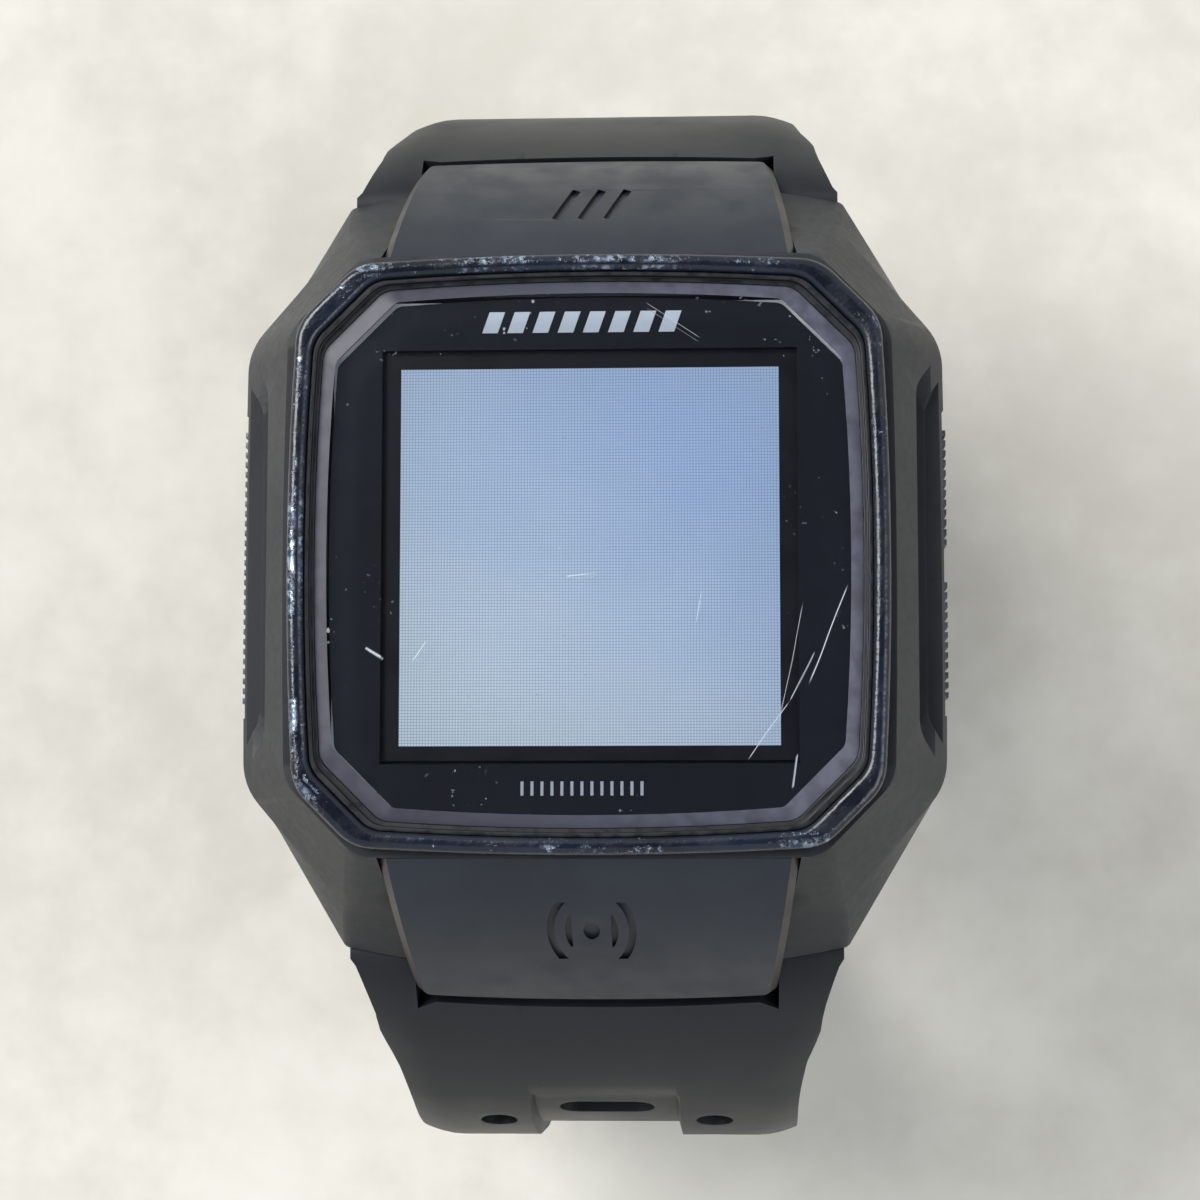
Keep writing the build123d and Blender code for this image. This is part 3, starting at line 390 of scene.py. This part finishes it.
def display():
    """Reflective display: a fine dot grid inside the active square and a dark border outside it; the display's
    face is painted paler towards the lower left as a painted sheen, over uneven clouds.
    """
    made = Shader("display", (0.4, 0.45, 0.6), 0.4, 0.0, 0.3)
    half = DOTS * DOT_PITCH / 2
    x = made.across(0, CASE_MIDDLE.x, DOT_PITCH * MM)
    y = made.across(1, CASE_MIDDLE.y, DOT_PITCH * MM)
    lines = []
    for value in (x, y):
        step = made.math("FRACT", made.math("ADD", value, 1000.0))
        lines.append(made.span(made.math("ABSOLUTE", made.math("SUBTRACT", step, 0.5)), 0.3, 0.5))
    grid = made.math("MAXIMUM", *lines)
    side = made.math("MAXIMUM", made.math("ABSOLUTE", x), made.math("ABSOLUTE", y))
    active = made.math("LESS_THAN", side, half / DOT_PITCH)
    top = made.math("GREATER_THAN", made.axis(made.normal, 2), 0.5)
    active = made.math("MULTIPLY", active, top)
    # painted sheen: the display grows paler towards the lower left, mixed with uneven clouds
    painted_sheen_slope = made.math("SUBTRACT", made.math("MULTIPLY", x, -0.4 / DOTS), made.math("MULTIPLY", y, 0.6 / DOTS))
    cloud = made.math("ADD", painted_sheen_slope, made.math("MULTIPLY", made.math("SUBTRACT", made.noise(16.0), 0.5), 0.5))
    sheet_with_painted_sheen = made.blend(made.span(cloud, -0.4, 0.4), (0.61, 0.75, 0.96), (0.93, 1.0, 1.0))
    dark = made.blend(0.7, sheet_with_painted_sheen, (0.10, 0.20, 0.44))
    dots = made.blend(made.math("MULTIPLY", grid, 0.85), sheet_with_painted_sheen, dark)
    made.set("Base Color", made.blend(active, (0.0022, 0.003, 0.006), dots))
    made.set("Roughness", made.span(made.noise(3.0), 0.3, 0.7, 0.36, 0.5))
    made.set("Normal", made.bump(made.math("MULTIPLY", grid, active), 0.004, 0.3))
    return made.material


def strap_rubber():
    """Matte dark rubber: soft grain, faint flow clouds, a few pale rubbed specks and a painted pale sheen along
    every edge.
    """
    made = Shader("strap_rubber", (0.012, 0.012, 0.0125), 0.5, 0.0, 0.36)
    cloud = made.noise(12.0, 4.0, 0.6)
    base = made.blend(made.span(cloud, 0.3, 0.7), (0.0075, 0.0097, 0.0130), (0.0112, 0.0140, 0.0180))
    speck = made.math("MULTIPLY", made.span(made.noise(0.5, 2.0), 0.68, 0.76),
                      made.span(made.noise(7.0), 0.5, 0.66))
    # painted sheen: a pale band along every edge; the mix below holds it together with the pale rubbed specks
    painted_rim_light = made.math("MULTIPLY", made.span(made.edges(0.3), 0.03, 0.3), 0.12)
    rubbed = made.math("MAXIMUM", made.math("MULTIPLY", speck, 0.35), painted_rim_light)
    made.set("Base Color", made.blend(rubbed, base, (0.09, 0.095, 0.10)))
    made.set("Roughness", made.span(cloud, 0.3, 0.7, 0.42, 0.56))
    fine = made.bump(made.noise(0.14, 2.0, 0.6), 0.010, 0.6)
    made.set("Normal", made.bump(made.noise(2.6, 2.0), 0.03, 0.25, fine))
    return made.material


def seal_rubber():
    made = Shader("seal_rubber", (0.004, 0.005, 0.008), 0.3)
    made.set("Base Color", made.blend(made.span(made.noise(1.5, 4.0), 0.45, 0.75),
                                      (0.002, 0.0028, 0.0050), (0.007, 0.0095, 0.016)))
    made.set("Roughness", made.span(made.noise(0.8), 0.3, 0.7, 0.3, 0.55))
    made.set("Normal", made.bump(made.noise(0.3), 0.01, 0.5))
    return made.material


def brushed(name, color, dark, roughness, metallic=1.0, stretch=(1, 14, 14)):
    """Metal with fine brushing along X and smudges."""
    made = Shader(name, color, roughness, metallic)
    lines = made.noise(1.4, 4.0, 0.7, vector=made.scaled(made.coords, stretch))
    smudge = made.noise(4.0, 3.0)
    tone = made.math("ADD", lines, smudge)
    made.set("Base Color", made.blend(made.span(tone, 0.7, 1.35), dark, color))
    made.set("Roughness", made.span(tone, 0.7, 1.3, roughness - 0.08, roughness + 0.12))
    made.set("Normal", made.bump(lines, 0.006, 0.4))
    return made.material


def dark_steel():
    """Dark coated buckle metal, worn pale on its edges."""
    made = Shader("dark_steel", (0.04, 0.042, 0.046), 0.35, 0.6)
    worn = made.math("MULTIPLY", made.span(made.edges(0.25), 0.04, 0.3),
                     made.span(made.noise(1.6, 4.0), 0.42, 0.6))
    base = made.blend(made.span(made.noise(5.0), 0.3, 0.7), (0.030, 0.032, 0.036), (0.055, 0.057, 0.062))
    made.set("Base Color", made.blend(worn, base, (0.42, 0.42, 0.43)))
    made.set("Metallic", made.span(worn, 0.0, 1.0, 0.55, 1.0))
    made.set("Roughness", made.span(made.noise(1.0, 4.0), 0.3, 0.7, 0.28, 0.45))
    made.set("Normal", made.bump(made.noise(0.5, 3.0), 0.008, 0.5))
    return made.material


def button_plastic():
    """Satin dark caps whose ribs are rubbed paler."""
    made = moulded_plastic("button_plastic", (0.012, 0.016, 0.024), (0.018, 0.023, 0.033), 0.14, 0.4,
                           0.8, (0.12, 0.14, 0.17))
    return made.material


def small_part(name, color, other, size, roughness, metallic=0.0, bump_mm=0.01):
    """Inner piece: two tones in patches of the given size with a matching bump."""
    made = Shader(name, color, roughness, metallic)
    patch = made.noise(size, 4.0, 0.6)
    made.set("Base Color", made.blend(made.span(patch, 0.35, 0.65), color, other))
    made.set("Roughness", made.span(patch, 0.3, 0.7, roughness - 0.07, roughness + 0.1))
    made.set("Normal", made.bump(made.noise(size / 4, 2.0), bump_mm, 0.5))
    return made.material


MATERIALS = {
    "case_plastic": case_plastic(),
    "plate_plastic": plate_plastic(),
    "bezel_coating": bezel_coating(),
    "glass": glass(),
    "print": dial_print(),
    "display": display(),
    "strap_rubber": strap_rubber(),
    "seal_rubber": seal_rubber(),
    "steel": brushed("steel", (0.58, 0.58, 0.59), (0.42, 0.42, 0.43), 0.3),
    "dark_steel": dark_steel(),
    "board": small_part("board", (0.01, 0.10, 0.04), (0.02, 0.16, 0.06), 1.2, 0.35),
    "chip": small_part("chip", (0.02, 0.02, 0.022), (0.035, 0.035, 0.037), 0.8, 0.5),
    "ceramic": small_part("ceramic", (0.62, 0.56, 0.45), (0.7, 0.65, 0.55), 2.0, 0.3),
    "battery": brushed("battery", (0.55, 0.56, 0.58), (0.45, 0.45, 0.47), 0.38),
    "white_plastic": small_part("white_plastic", (0.62, 0.62, 0.6), (0.7, 0.7, 0.68), 3.0, 0.5),
    "ribbon": small_part("ribbon", (0.42, 0.16, 0.03), (0.5, 0.22, 0.05), 1.5, 0.3),
    "button_plastic": button_plastic(),
    "gold": brushed("gold", (0.85, 0.62, 0.28), (0.7, 0.48, 0.2), 0.25),
}


# ------------------------------------------------------------------ CAD nodes

EDGE_ROUNDING = {  # millimetres, for the pieces whose edges show
    "case_shell": 0.35, "upper_end_plate": 0.14, "lower_end_plate": 0.14, "bezel_gasket": 0.06,
    "case_back": 0.15, "contact_block": 0.08, "buckle_frame": 0.4, "buckle_prongs": 0.3, "strap_keeper": 0.3,
    "left_button_cap": 0.12, "upper_right_button_cap": 0.12, "lower_right_button_cap": 0.12,
    "bezel_ring": 0.35,
}


def round_edges(thing, width_mm):
    """Softens sharp edges with modifiers, leaving the mesh as it is."""
    weld = thing.modifiers.new("weld", "WELD")
    weld.merge_threshold = 0.002 * MM
    bevel = thing.modifiers.new("edges", "BEVEL")
    bevel.width = width_mm * MM
    bevel.segments = 3
    bevel.limit_method = "ANGLE"
    bevel.angle_limit = math.radians(24)
    bevel.harden_normals = False
    even = thing.modifiers.new("shading", "WEIGHTED_NORMAL")
    even.keep_sharp = False


def dress_cad_nodes():
    """Gives every CAD node its slot's material and rounds the edges that show."""
    for entry in frame["record"]["subparts"]:
        thing = frame["nodes"][entry["node"]]
        thing.data.materials.clear()
        thing.data.materials.append(MATERIALS[entry["material_slot"]])
        if entry["node"] in EDGE_ROUNDING:
            round_edges(thing, EDGE_ROUNDING[entry["node"]])


dress_cad_nodes()


# ------------------------------------------------------------------ straps

# Outer face of each strap: start, first heading below the horizon, and runs of (length, turn in degrees)
STRAP_START = (27.3, -10.2)
LOWER_HEADING = 42.0
LOWER_RUNS = [(23.9, 48.0), (6.0, 0.0), (40.8, 90.0), (38.0, 0.0)]
UPPER_HEADING = 50.0
UPPER_RUNS = [(20.2, 40.0), (3.0, 0.0), (26.7, 90.0), (19.0, 0.0)]
THICK_AT_CASE, THICK = 3.8, 2.8
EDGE_SLOPE, EDGE_DROP = 2.4, 0.6
CHANNEL_FLOOR, CHANNEL_LIP, CHANNEL_DEPTH = 4.7, 4.95, 0.9
HOLE_FIRST, HOLE_PITCH, HOLE_ROWS = 14.6, 7.0, 13
HOLE_OFFSET, HOLE_RADIUS, HOLE_CELL = 7.2, 1.25, 1.9
OVAL_HALF, OVAL_RADIUS, OVAL_CELL = 1.9, 1.3, 4.0
HOLES_IN_A_ROW = (  # centre, half of the straight run, radius, reach of its square of cells
    (-HOLE_OFFSET, 0, HOLE_RADIUS, HOLE_CELL), (0, OVAL_HALF, OVAL_RADIUS, OVAL_CELL),
    (HOLE_OFFSET, 0, HOLE_RADIUS, HOLE_CELL),
)
CELL_SHARES = (-1, -0.5, 0, 0.5, 1)
CELL_ROWS = len(CELL_SHARES) - 1
PIN_ANGLES = (180, 160, 140, 120, 100, 80)
BAR_ANGLES = (0, 22, 45, 67, 90)
FIRST_ROWS = (-3.0, -2.0, -1.0, 0.15, 1.2, 2.6, 4.0, 5.4, 7.0, 8.5, 10.0, 11.3)
LAST_ROW_STEP = 0.9
HALF_WIDTH, FLARE, TAPER = 12.75, 2.7, 1.25
EAR_END = 4.0
PIN_BORE, HEAD_BORE, HEAD_START, BAR_BORE, BORE_REACH = 0.8, 1.4, 13.6, 0.85, 20
STRAP_ROUNDING = 0.28
EAR_START = 11.4
PLATE_BOW = 0.55
EYE_START = 9.1
TIP_ROUND = 7.5
NEAR_COLUMNS = [10.2, EAR_START, 12.3, 13.1, 13.8, 14.2]
FAR_SHARES = [0.15, 0.3, 0.5, 0.68, 0.82, 0.93]
PIN = box_middle("upper_strap_pin") - CASE_MIDDLE
PIN_Y, PIN_Z = PIN.y / MM, PIN.z / MM
BAR = box_middle("buckle_bar") - CASE_MIDDLE
BAR_Y, BAR_Z = BAR.y / MM, BAR.z / MM
EAR_RADIUS = 2.0


def smooth(value, low, high):
    part = max(0.0, min(1.0, (value - low) / (high - low)))
    return part * part * (3 - 2 * part)


def along(heading, runs, distance):
    """Point and heading on a strap's outer face."""
    y, z = STRAP_START
    heading = math.radians(heading)
    for index, (length, turn) in enumerate(runs):
        step = distance if index == len(runs) - 1 else max(0.0, min(distance, length))
        half_turn = math.radians(turn) * step / length / 2
        chord = step * math.sin(half_turn) / half_turn if half_turn else step
        y += chord * math.cos(heading + half_turn)
        z -= chord * math.sin(heading + half_turn)
        heading += 2 * half_turn
        distance -= step
    return y, z, heading


def hermite(start, start_run, end, end_run, part):
    """Point on a smooth curve between two points with given end runs."""
    a, b = 2 * part**3 - 3 * part**2 + 1, part**3 - 2 * part**2 + part
    c, d = 3 * part**2 - 2 * part**3, part**3 - part**2
    return tuple(a * start[i] + b * start_run[i] + c * end[i] + d * end_run[i] for i in (0, 1))


class Strap:
    """One strap half: a grid of columns across and rows along, bent to its side view."""

    def __init__(self, side, heading, runs, has_holes):
        self.side, self.heading, self.runs, self.has_holes = side, heading, runs, has_holes
        self.length = sum(length for length, turn in runs)
        inner = [0, 1, 2, 3, OVAL_CELL, CHANNEL_FLOOR, CHANNEL_LIP]
        cell = [HOLE_OFFSET + HOLE_CELL * share for share in CELL_SHARES]
        right = inner + cell
        self.fixed = [-x for x in reversed(right[1:])] + right
        self.columns = len(self.fixed) + 2 * (len(NEAR_COLUMNS) + 1)
        self.rows = self.make_rows()

    def make_rows(self):
        """Distances along the strap; the wrapped rows round the pin and the bar carry an angle."""
        rows = [("pin", angle) for angle in PIN_ANGLES]
        rows += [("run", s) for s in FIRST_ROWS]
        last_hole = self.length - 8
        for index in range(HOLE_ROWS):
            middle = HOLE_FIRST + index * HOLE_PITCH
            if middle + HOLE_CELL + 0.4 > last_hole:
                break
            rows += [("run", middle + HOLE_CELL * share) for share in CELL_SHARES]
            rows += [("run", middle + HOLE_CELL + 1.07), ("run", middle + HOLE_CELL + 2.13)]
        start = rows[-1][1]
        end = self.length if self.has_holes else self.length - 0.6
        count = max(2, round((end - start) / LAST_ROW_STEP))
        rows += [("run", start + (end - start) * step / count) for step in range(1, count + 1)]
        if not self.has_holes:
            rows += [("bar", angle) for angle in BAR_ANGLES]
        return rows

    def half_width(self, s):
        flare = FLARE * (1 - max(0.0, min(1.0, (s + 4) / 18))) ** 2
        return HALF_WIDTH + flare - TAPER * smooth(s, 14, self.length - 8)

    def across(self, column, s):
        """X of a column at a distance along the strap."""
        outer = len(NEAR_COLUMNS) + 1
        if outer <= column < self.columns - outer:
            return self.fixed[column - outer] * self.tip_share(s)
        sign = -1 if column < outer else 1
        index = outer - 1 - column if column < outer else column - (self.columns - outer)
        half = self.half_width(s)
        near = (NEAR_COLUMNS + [half])[index]
        far = self.fixed[-1] + (FAR_SHARES + [1.0])[index] * (half - self.fixed[-1])
        return sign * (near + (far - near) * smooth(s, 0, 9)) * self.tip_share(s)

    def tip_share(self, s):
        """Narrowing towards the rounded tip."""
        into = s - (self.length - TIP_ROUND)
        if not self.has_holes or into <= 0:
            return 1.0
        half = self.half_width(s)
        return (half - TIP_ROUND + math.sqrt(max(0.0, TIP_ROUND**2 - into**2))) / half

    def channel(self, x, s):
        if not self.has_holes:
            return 0.0
        begins = smooth(s, HOLE_FIRST - 5.0, HOLE_FIRST - 3.2)
        ends = smooth(s, self.length - 6.0, self.length - 4.0)
        return CHANNEL_DEPTH * begins * (1 - ends) if abs(x) <= CHANNEL_FLOOR + 0.01 else 0.0

    def drop(self, x, s):
        """How far the outer face falls towards the strap's edge."""
        edge = self.half_width(s) * self.tip_share(s) - abs(x)
        fall = EDGE_DROP * (0.45 + 0.55 * smooth(s, -2, 8))
        return fall * max(0.0, 1 - edge / EDGE_SLOPE) ** 1.7

    def ends(self, row, x):
        """Outer and inner (y, z) of the strap at one row and column."""
        kind, value = row
        if kind == "pin":
            angle = math.radians(value)
            outer = (PIN_Y + EAR_RADIUS * math.cos(angle), PIN_Z + EAR_RADIUS * math.sin(angle))
            return outer, (outer[0], 2 * PIN_Z - outer[1])
        if kind == "bar":
            angle = math.radians(90 - value)
            reach = THICK / 2 * math.cos(math.radians(value)) if value < 90 else 0.04
            y = BAR_Y - THICK / 2 * math.cos(angle)
            return (y, BAR_Z - reach), (y, BAR_Z + reach)
        y, z, heading = along(self.heading, self.runs, value)
        if value < 0.2:
            behind = PLATE_BOW * (x / EAR_START) ** 2
            y, z = y - behind * math.cos(heading), z + behind * math.sin(heading)
        normal = (math.sin(heading), math.cos(heading))
        thick = THICK_AT_CASE - (THICK_AT_CASE - THICK) * max(0.0, min(1.0, value / 16))
        sink = self.drop(x, value) + self.channel(x, value)
        outer = (y - normal[0] * sink, z - normal[1] * sink)
        inner = (y - normal[0] * thick, z - normal[1] * thick)
        if value < EAR_END and abs(x) >= EAR_START - 0.01:
            return self.ear(value, x)
        return outer, inner

    def ear(self, s, x):
        """The ear's faces between the pin and the full strap."""
        y, z, heading = along(self.heading, self.runs, EAR_END)
        normal = (math.sin(heading), math.cos(heading))
        run = (5.5 * math.cos(heading), -5.5 * math.sin(heading))
        sink = self.drop(x, s)
        outer_end = (y, z)
        inner_end = (y - normal[0] * 3.55, z - normal[1] * 3.55)
        angle = math.radians(PIN_ANGLES[-1])
        start = (PIN_Y + EAR_RADIUS * math.cos(angle), PIN_Z + EAR_RADIUS * math.sin(angle))
        low = (start[0], 2 * PIN_Z - start[1])
        part = (s + EAR_END) / (2 * EAR_END)
        outer = hermite(start, (5.0, -0.9), outer_end, run, part)
        inner = hermite(low, (2.0, -0.6), inner_end, (run[0] * 0.7, run[1] * 0.7), part)
        return (outer[0] - normal[0] * sink, outer[1] - normal[1] * sink), inner

    def distance(self, row):
        kind, value = row
        return {"pin": -EAR_END, "run": value, "bar": self.length}[kind]

    def point(self, row, x, inner):
        y, z = self.ends(row, x)[1 if inner else 0]
        return place(x, self.side * y, z)

    def present(self, i, j):
        """True if the cell between rows i, i+1 and columns j, j+1 is solid."""
        near = abs(self.across(j, 0.0)), abs(self.across(j + 1, 0.0))
        row, following = self.rows[i], self.rows[i + 1]
        if row[0] == "pin" or (row[0] == "run" and row[1] < 0.1):
            return min(near) >= EAR_START - 0.01
        if following[0] == "bar":
            far = abs(self.across(j, self.length)), abs(self.across(j + 1, self.length))
            return min(far) >= EYE_START - 0.01
        return True

    def nearest(self, x):
        """Index of the fixed column closest to an X."""
        return min(range(len(self.fixed)), key=lambda k: abs(self.fixed[k] - x))

    def hole_blocks(self):
        """(first row, first column, columns, centre x, centre s, half straight, radius) of each hole."""
        blocks = []
        if not self.has_holes:
            return blocks
        outer = len(NEAR_COLUMNS) + 1
        for index in range(HOLE_ROWS):
            middle = HOLE_FIRST + index * HOLE_PITCH
            top = [i for i, (kind, s) in enumerate(self.rows)
                   if kind == "run" and abs(s - middle + HOLE_CELL) < 1e-6]
            if not top:
                continue
            for centre, half, radius, reach in HOLES_IN_A_ROW:
                start, end = self.nearest(centre - reach), self.nearest(centre + reach)
                blocks.append((top[0], outer + start, end - start, centre, middle, half, radius))
        return blocks

    def build(self, name):
        self.mesh = bmesh.new()
        grid = {}

        def vertex(i, j, inner):
            key = (i, j, inner)
            if key not in grid:
                x = self.across(j, self.distance(self.rows[i]))
                grid[key] = self.mesh.verts.new(self.point(self.rows[i], x, inner))
            return grid[key]

        blocks = self.hole_blocks()
        holed = {(first + i, column + j)
                 for first, column, width, *_ in blocks for i in range(CELL_ROWS) for j in range(width)}
        cells = ((i, j) for i in range(len(self.rows) - 1) for j in range(self.columns - 1))
        solid = {(i, j) for i, j in cells if self.present(i, j)}
        for i, j in solid:
            corners = [(i, j), (i, j + 1), (i + 1, j + 1), (i + 1, j)]
            if (i, j) not in holed:
                for inner in (False, True):
                    self.mesh.faces.new([vertex(*corner, inner) for corner in corners])
            sides = zip(corners, corners[1:] + corners[:1])
            for step, (a, b) in zip([(-1, 0), (0, 1), (1, 0), (0, -1)], sides):
                if (i + step[0], j + step[1]) not in solid:
                    wall = [vertex(*a, False), vertex(*b, False), vertex(*b, True), vertex(*a, True)]
                    self.mesh.faces.new(wall)
        for block in blocks:
            self.fill_block(block, vertex)
        bmesh.ops.remove_doubles(self.mesh, verts=self.mesh.verts, dist=0.001 * MM)
        bmesh.ops.recalc_face_normals(self.mesh, faces=self.mesh.faces)
        data = bpy.data.meshes.new(name)
        self.mesh.to_mesh(data)
        self.mesh.free()
        made = bpy.data.objects.new(name, data)
        bpy.context.scene.collection.objects.link(made)
        data.materials.append(MATERIALS["strap_rubber"])
        return made

    def fill_block(self, block, vertex):
        """Rings of faces from a square of cells down to a round or oval hole, and the hole's wall."""
        first, column, width, centre, middle, half, radius = block
        border = [(first, column + k) for k in range(width)]
        border += [(first + k, column + width) for k in range(CELL_ROWS)]
        border += [(first + CELL_ROWS, column + width - k) for k in range(width)]
        border += [(first + CELL_ROWS - k, column) for k in range(CELL_ROWS)]
        flat = [(self.across(j, middle), self.rows[i][1]) for i, j in border]
        previous = {inner: [vertex(i, j, inner) for i, j in border] for inner in (False, True)}
        for share in (0.55, 1.0):
            ring = {}
            for inner in (False, True):
                ring[inner] = []
                for x, s in flat:
                    core = max(-half, min(half, x - centre))
                    out_x, out_s = x - centre - core, s - middle
                    size = math.hypot(out_x, out_s)
                    goal = (centre + core + out_x / size * radius, middle + out_s / size * radius)
                    at = (x + (goal[0] - x) * share, s + (goal[1] - s) * share)
                    ring[inner].append(self.mesh.verts.new(self.point(("run", at[1]), at[0], inner)))
                self.join_loops(previous[inner], ring[inner])
            previous = ring
        self.join_loops(previous[False], previous[True])

    def join_loops(self, one, other):
        """A band of faces between two closed loops of vertices."""
        for k in range(len(one)):
            n = (k + 1) % len(one)
            self.mesh.faces.new([one[k], one[n], other[n], other[k]])


def rod_across(radius_mm, x0, x1, centre):
    """A plain cylinder along X, used only to cut bores."""
    bm = bmesh.new()
    bmesh.ops.create_cone(bm, cap_ends=True, segments=40, radius1=radius_mm * MM, radius2=radius_mm * MM,
                          depth=(x1 - x0) * MM)
    turn = Matrix.Rotation(math.pi / 2, 4, "Y")
    shift = Matrix.Translation(Vector(((x0 + x1) / 2 * MM, centre.y, centre.z)))
    bmesh.ops.transform(bm, matrix=shift @ turn, verts=bm.verts)
    data = bpy.data.meshes.new("cutter")
    bm.to_mesh(data)
    bm.free()
    made = bpy.data.objects.new("cutter", data)
    bpy.context.scene.collection.objects.link(made)
    return made


def apply_modifiers(thing):
    """Bakes a piece's modifiers into its mesh."""
    graph = bpy.context.evaluated_depsgraph_get()
    graph.update()
    data = bpy.data.meshes.new_from_object(thing.evaluated_get(graph))
    thing.modifiers.clear()
    thing.data = data


def finish_strap(thing, cutters):
    """Cuts the bores, rounds the edges and shades the strap smoothly."""
    for cutter in cutters:
        cut = thing.modifiers.new("bore", "BOOLEAN")
        cut.operation, cut.solver, cut.object = "DIFFERENCE", "EXACT", cutter
    bevel = thing.modifiers.new("edges", "BEVEL")
    bevel.width = STRAP_ROUNDING * MM
    bevel.segments = 3
    bevel.limit_method = "ANGLE"
    bevel.angle_limit = math.radians(38)
    apply_modifiers(thing)
    for cutter in cutters:
        bpy.data.objects.remove(cutter)
    for polygon in thing.data.polygons:
        polygon.use_smooth = True
    even = thing.modifiers.new("shading", "WEIGHTED_NORMAL")
    even.keep_sharp = False
    apply_modifiers(thing)


def pin_bores(pin):
    """Cutters for a strap pin and for the wider screw heads at its two ends."""
    bores = [rod_across(PIN_BORE, -BORE_REACH, BORE_REACH, pin)]
    bores.append(rod_across(HEAD_BORE, -BORE_REACH, -HEAD_START, pin))
    bores.append(rod_across(HEAD_BORE, HEAD_START, BORE_REACH, pin))
    return bores


def make_straps():
    lower = Strap(-1, LOWER_HEADING, LOWER_RUNS, True).build("lower_strap")
    finish_strap(lower, pin_bores(box_middle("lower_strap_pin")))
    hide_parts("lower_strap_base", "lower_strap_end")
    blend_over_joint(lower, "lower_strap_flex")
    upper = Strap(1, UPPER_HEADING, UPPER_RUNS, False).build("upper_strap")
    bar_bore = rod_across(BAR_BORE, -BORE_REACH, BORE_REACH, box_middle("buckle_bar"))
    finish_strap(upper, pin_bores(box_middle("upper_strap_pin")) + [bar_bore])
    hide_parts("upper_strap_base", "upper_strap_end")
    blend_over_joint(upper, "upper_strap_flex")


def blend_over_joint(thing, joint_name):
    """Finds the strap's flexing joint and bakes the strap's transform into its mesh."""
    joint = next(joint for joint in frame["joints"] if joint["name"] == joint_name)
    middle = Vector(joint["pos_m"])
    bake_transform(thing)


make_straps()


# ------------------------------------------------------------------ floor, lights, camera


def floor():
    """Pale mottled table top, out to well past the view."""
    made = Shader("table", (0.62, 0.57, 0.50), 0.7)
    wide = made.noise(95.0, 3.0, 0.5)
    fine = made.noise(24.0, 4.0, 0.6)
    small = made.math("ADD", fine, made.noise(5.0, 3.0, 0.6))
    patches = made.math("ADD", wide, made.math("MULTIPLY", small, 0.45))
    mottled = made.blend(made.span(patches, 0.72, 1.2), (0.585, 0.565, 0.500), (0.72, 0.705, 0.640))
    made.set("Base Color", mottled)
    made.set("Roughness", made.span(fine, 0.3, 0.7, 0.6, 0.8))
    made.set("Normal", made.bump(made.noise(3.0), 0.05, 0.2))
    bpy.ops.mesh.primitive_plane_add(size=6.0, location=(0, 0, cad_box[0][2]))
    table = bpy.context.object
    table.name = "table"
    table.data.materials.append(made.material)


def area_light(name, position, target, size, power, color):
    data = bpy.data.lights.new(name, "AREA")
    data.shape = "RECTANGLE"
    data.size, data.size_y = size
    data.energy = power
    data.color = color
    lamp = bpy.data.objects.new(name, data)
    bpy.context.scene.collection.objects.link(lamp)
    lamp.location = position
    lamp.rotation_euler = (Vector(target) - Vector(position)).to_track_quat("-Z", "Y").to_euler()


def lights():
    """A broad window from the upper left, a weak fill from the right, and a soft surround, dark overhead."""
    area_light("window", (-1.1, 0.7, 1.5), (0, 0, 0.03), (1.4, 1.0), 40.0, (1.0, 0.99, 0.97))
    area_light("fill", (0.9, -0.3, 0.9), (0, 0, 0.03), (0.8, 0.8), 5.0, (0.93, 0.96, 1.0))
    world = bpy.data.worlds.new("surround")
    world.use_nodes = True
    tree = world.node_tree
    sky = tree.nodes["Background"]
    sky.inputs["Color"].default_value = (0.93, 0.95, 1.0, 1)
    direction = tree.nodes.new("ShaderNodeTexCoord").outputs["Generated"]
    parts = tree.nodes.new("ShaderNodeSeparateXYZ")
    tree.links.new(direction, parts.inputs[0])
    fade = tree.nodes.new("ShaderNodeMapRange")
    fade.interpolation_type = "SMOOTHSTEP"
    for socket, number in zip(fade.inputs[1:5], (0.90, 0.985, 0.60, 0.06)):
        socket.default_value = number
    tree.links.new(parts.outputs["Z"], fade.inputs[0])
    tree.links.new(fade.outputs[0], sky.inputs["Strength"])
    bpy.context.scene.world = world


CAMERA_PLACE = (9.5, -21.85, 176.7)
CAMERA_TARGET = (0.65, -2.7, 0.0)
CAMERA_LENS = 88.3


def camera():
    """Nearly overhead camera, upright with 12 o'clock at the top."""
    data = bpy.data.cameras.new("camera")
    data.lens = CAMERA_LENS
    data.sensor_width = 36.0
    data.clip_start = 0.01
    thing = bpy.data.objects.new("camera", data)
    bpy.context.scene.collection.objects.link(thing)
    position, target = place(*CAMERA_PLACE), place(*CAMERA_TARGET)
    forward = (target - position).normalized()
    right = forward.cross(Vector((0, 1, 0))).normalized()
    up = right.cross(forward)
    turn = Matrix((right, up, -forward)).transposed().to_4x4()
    thing.matrix_world = Matrix.Translation(position) @ turn
    bpy.context.scene.camera = thing


floor()
lights()
camera()
bpy.context.scene.view_settings.view_transform = "Standard"

bpy.context.view_layer.update()
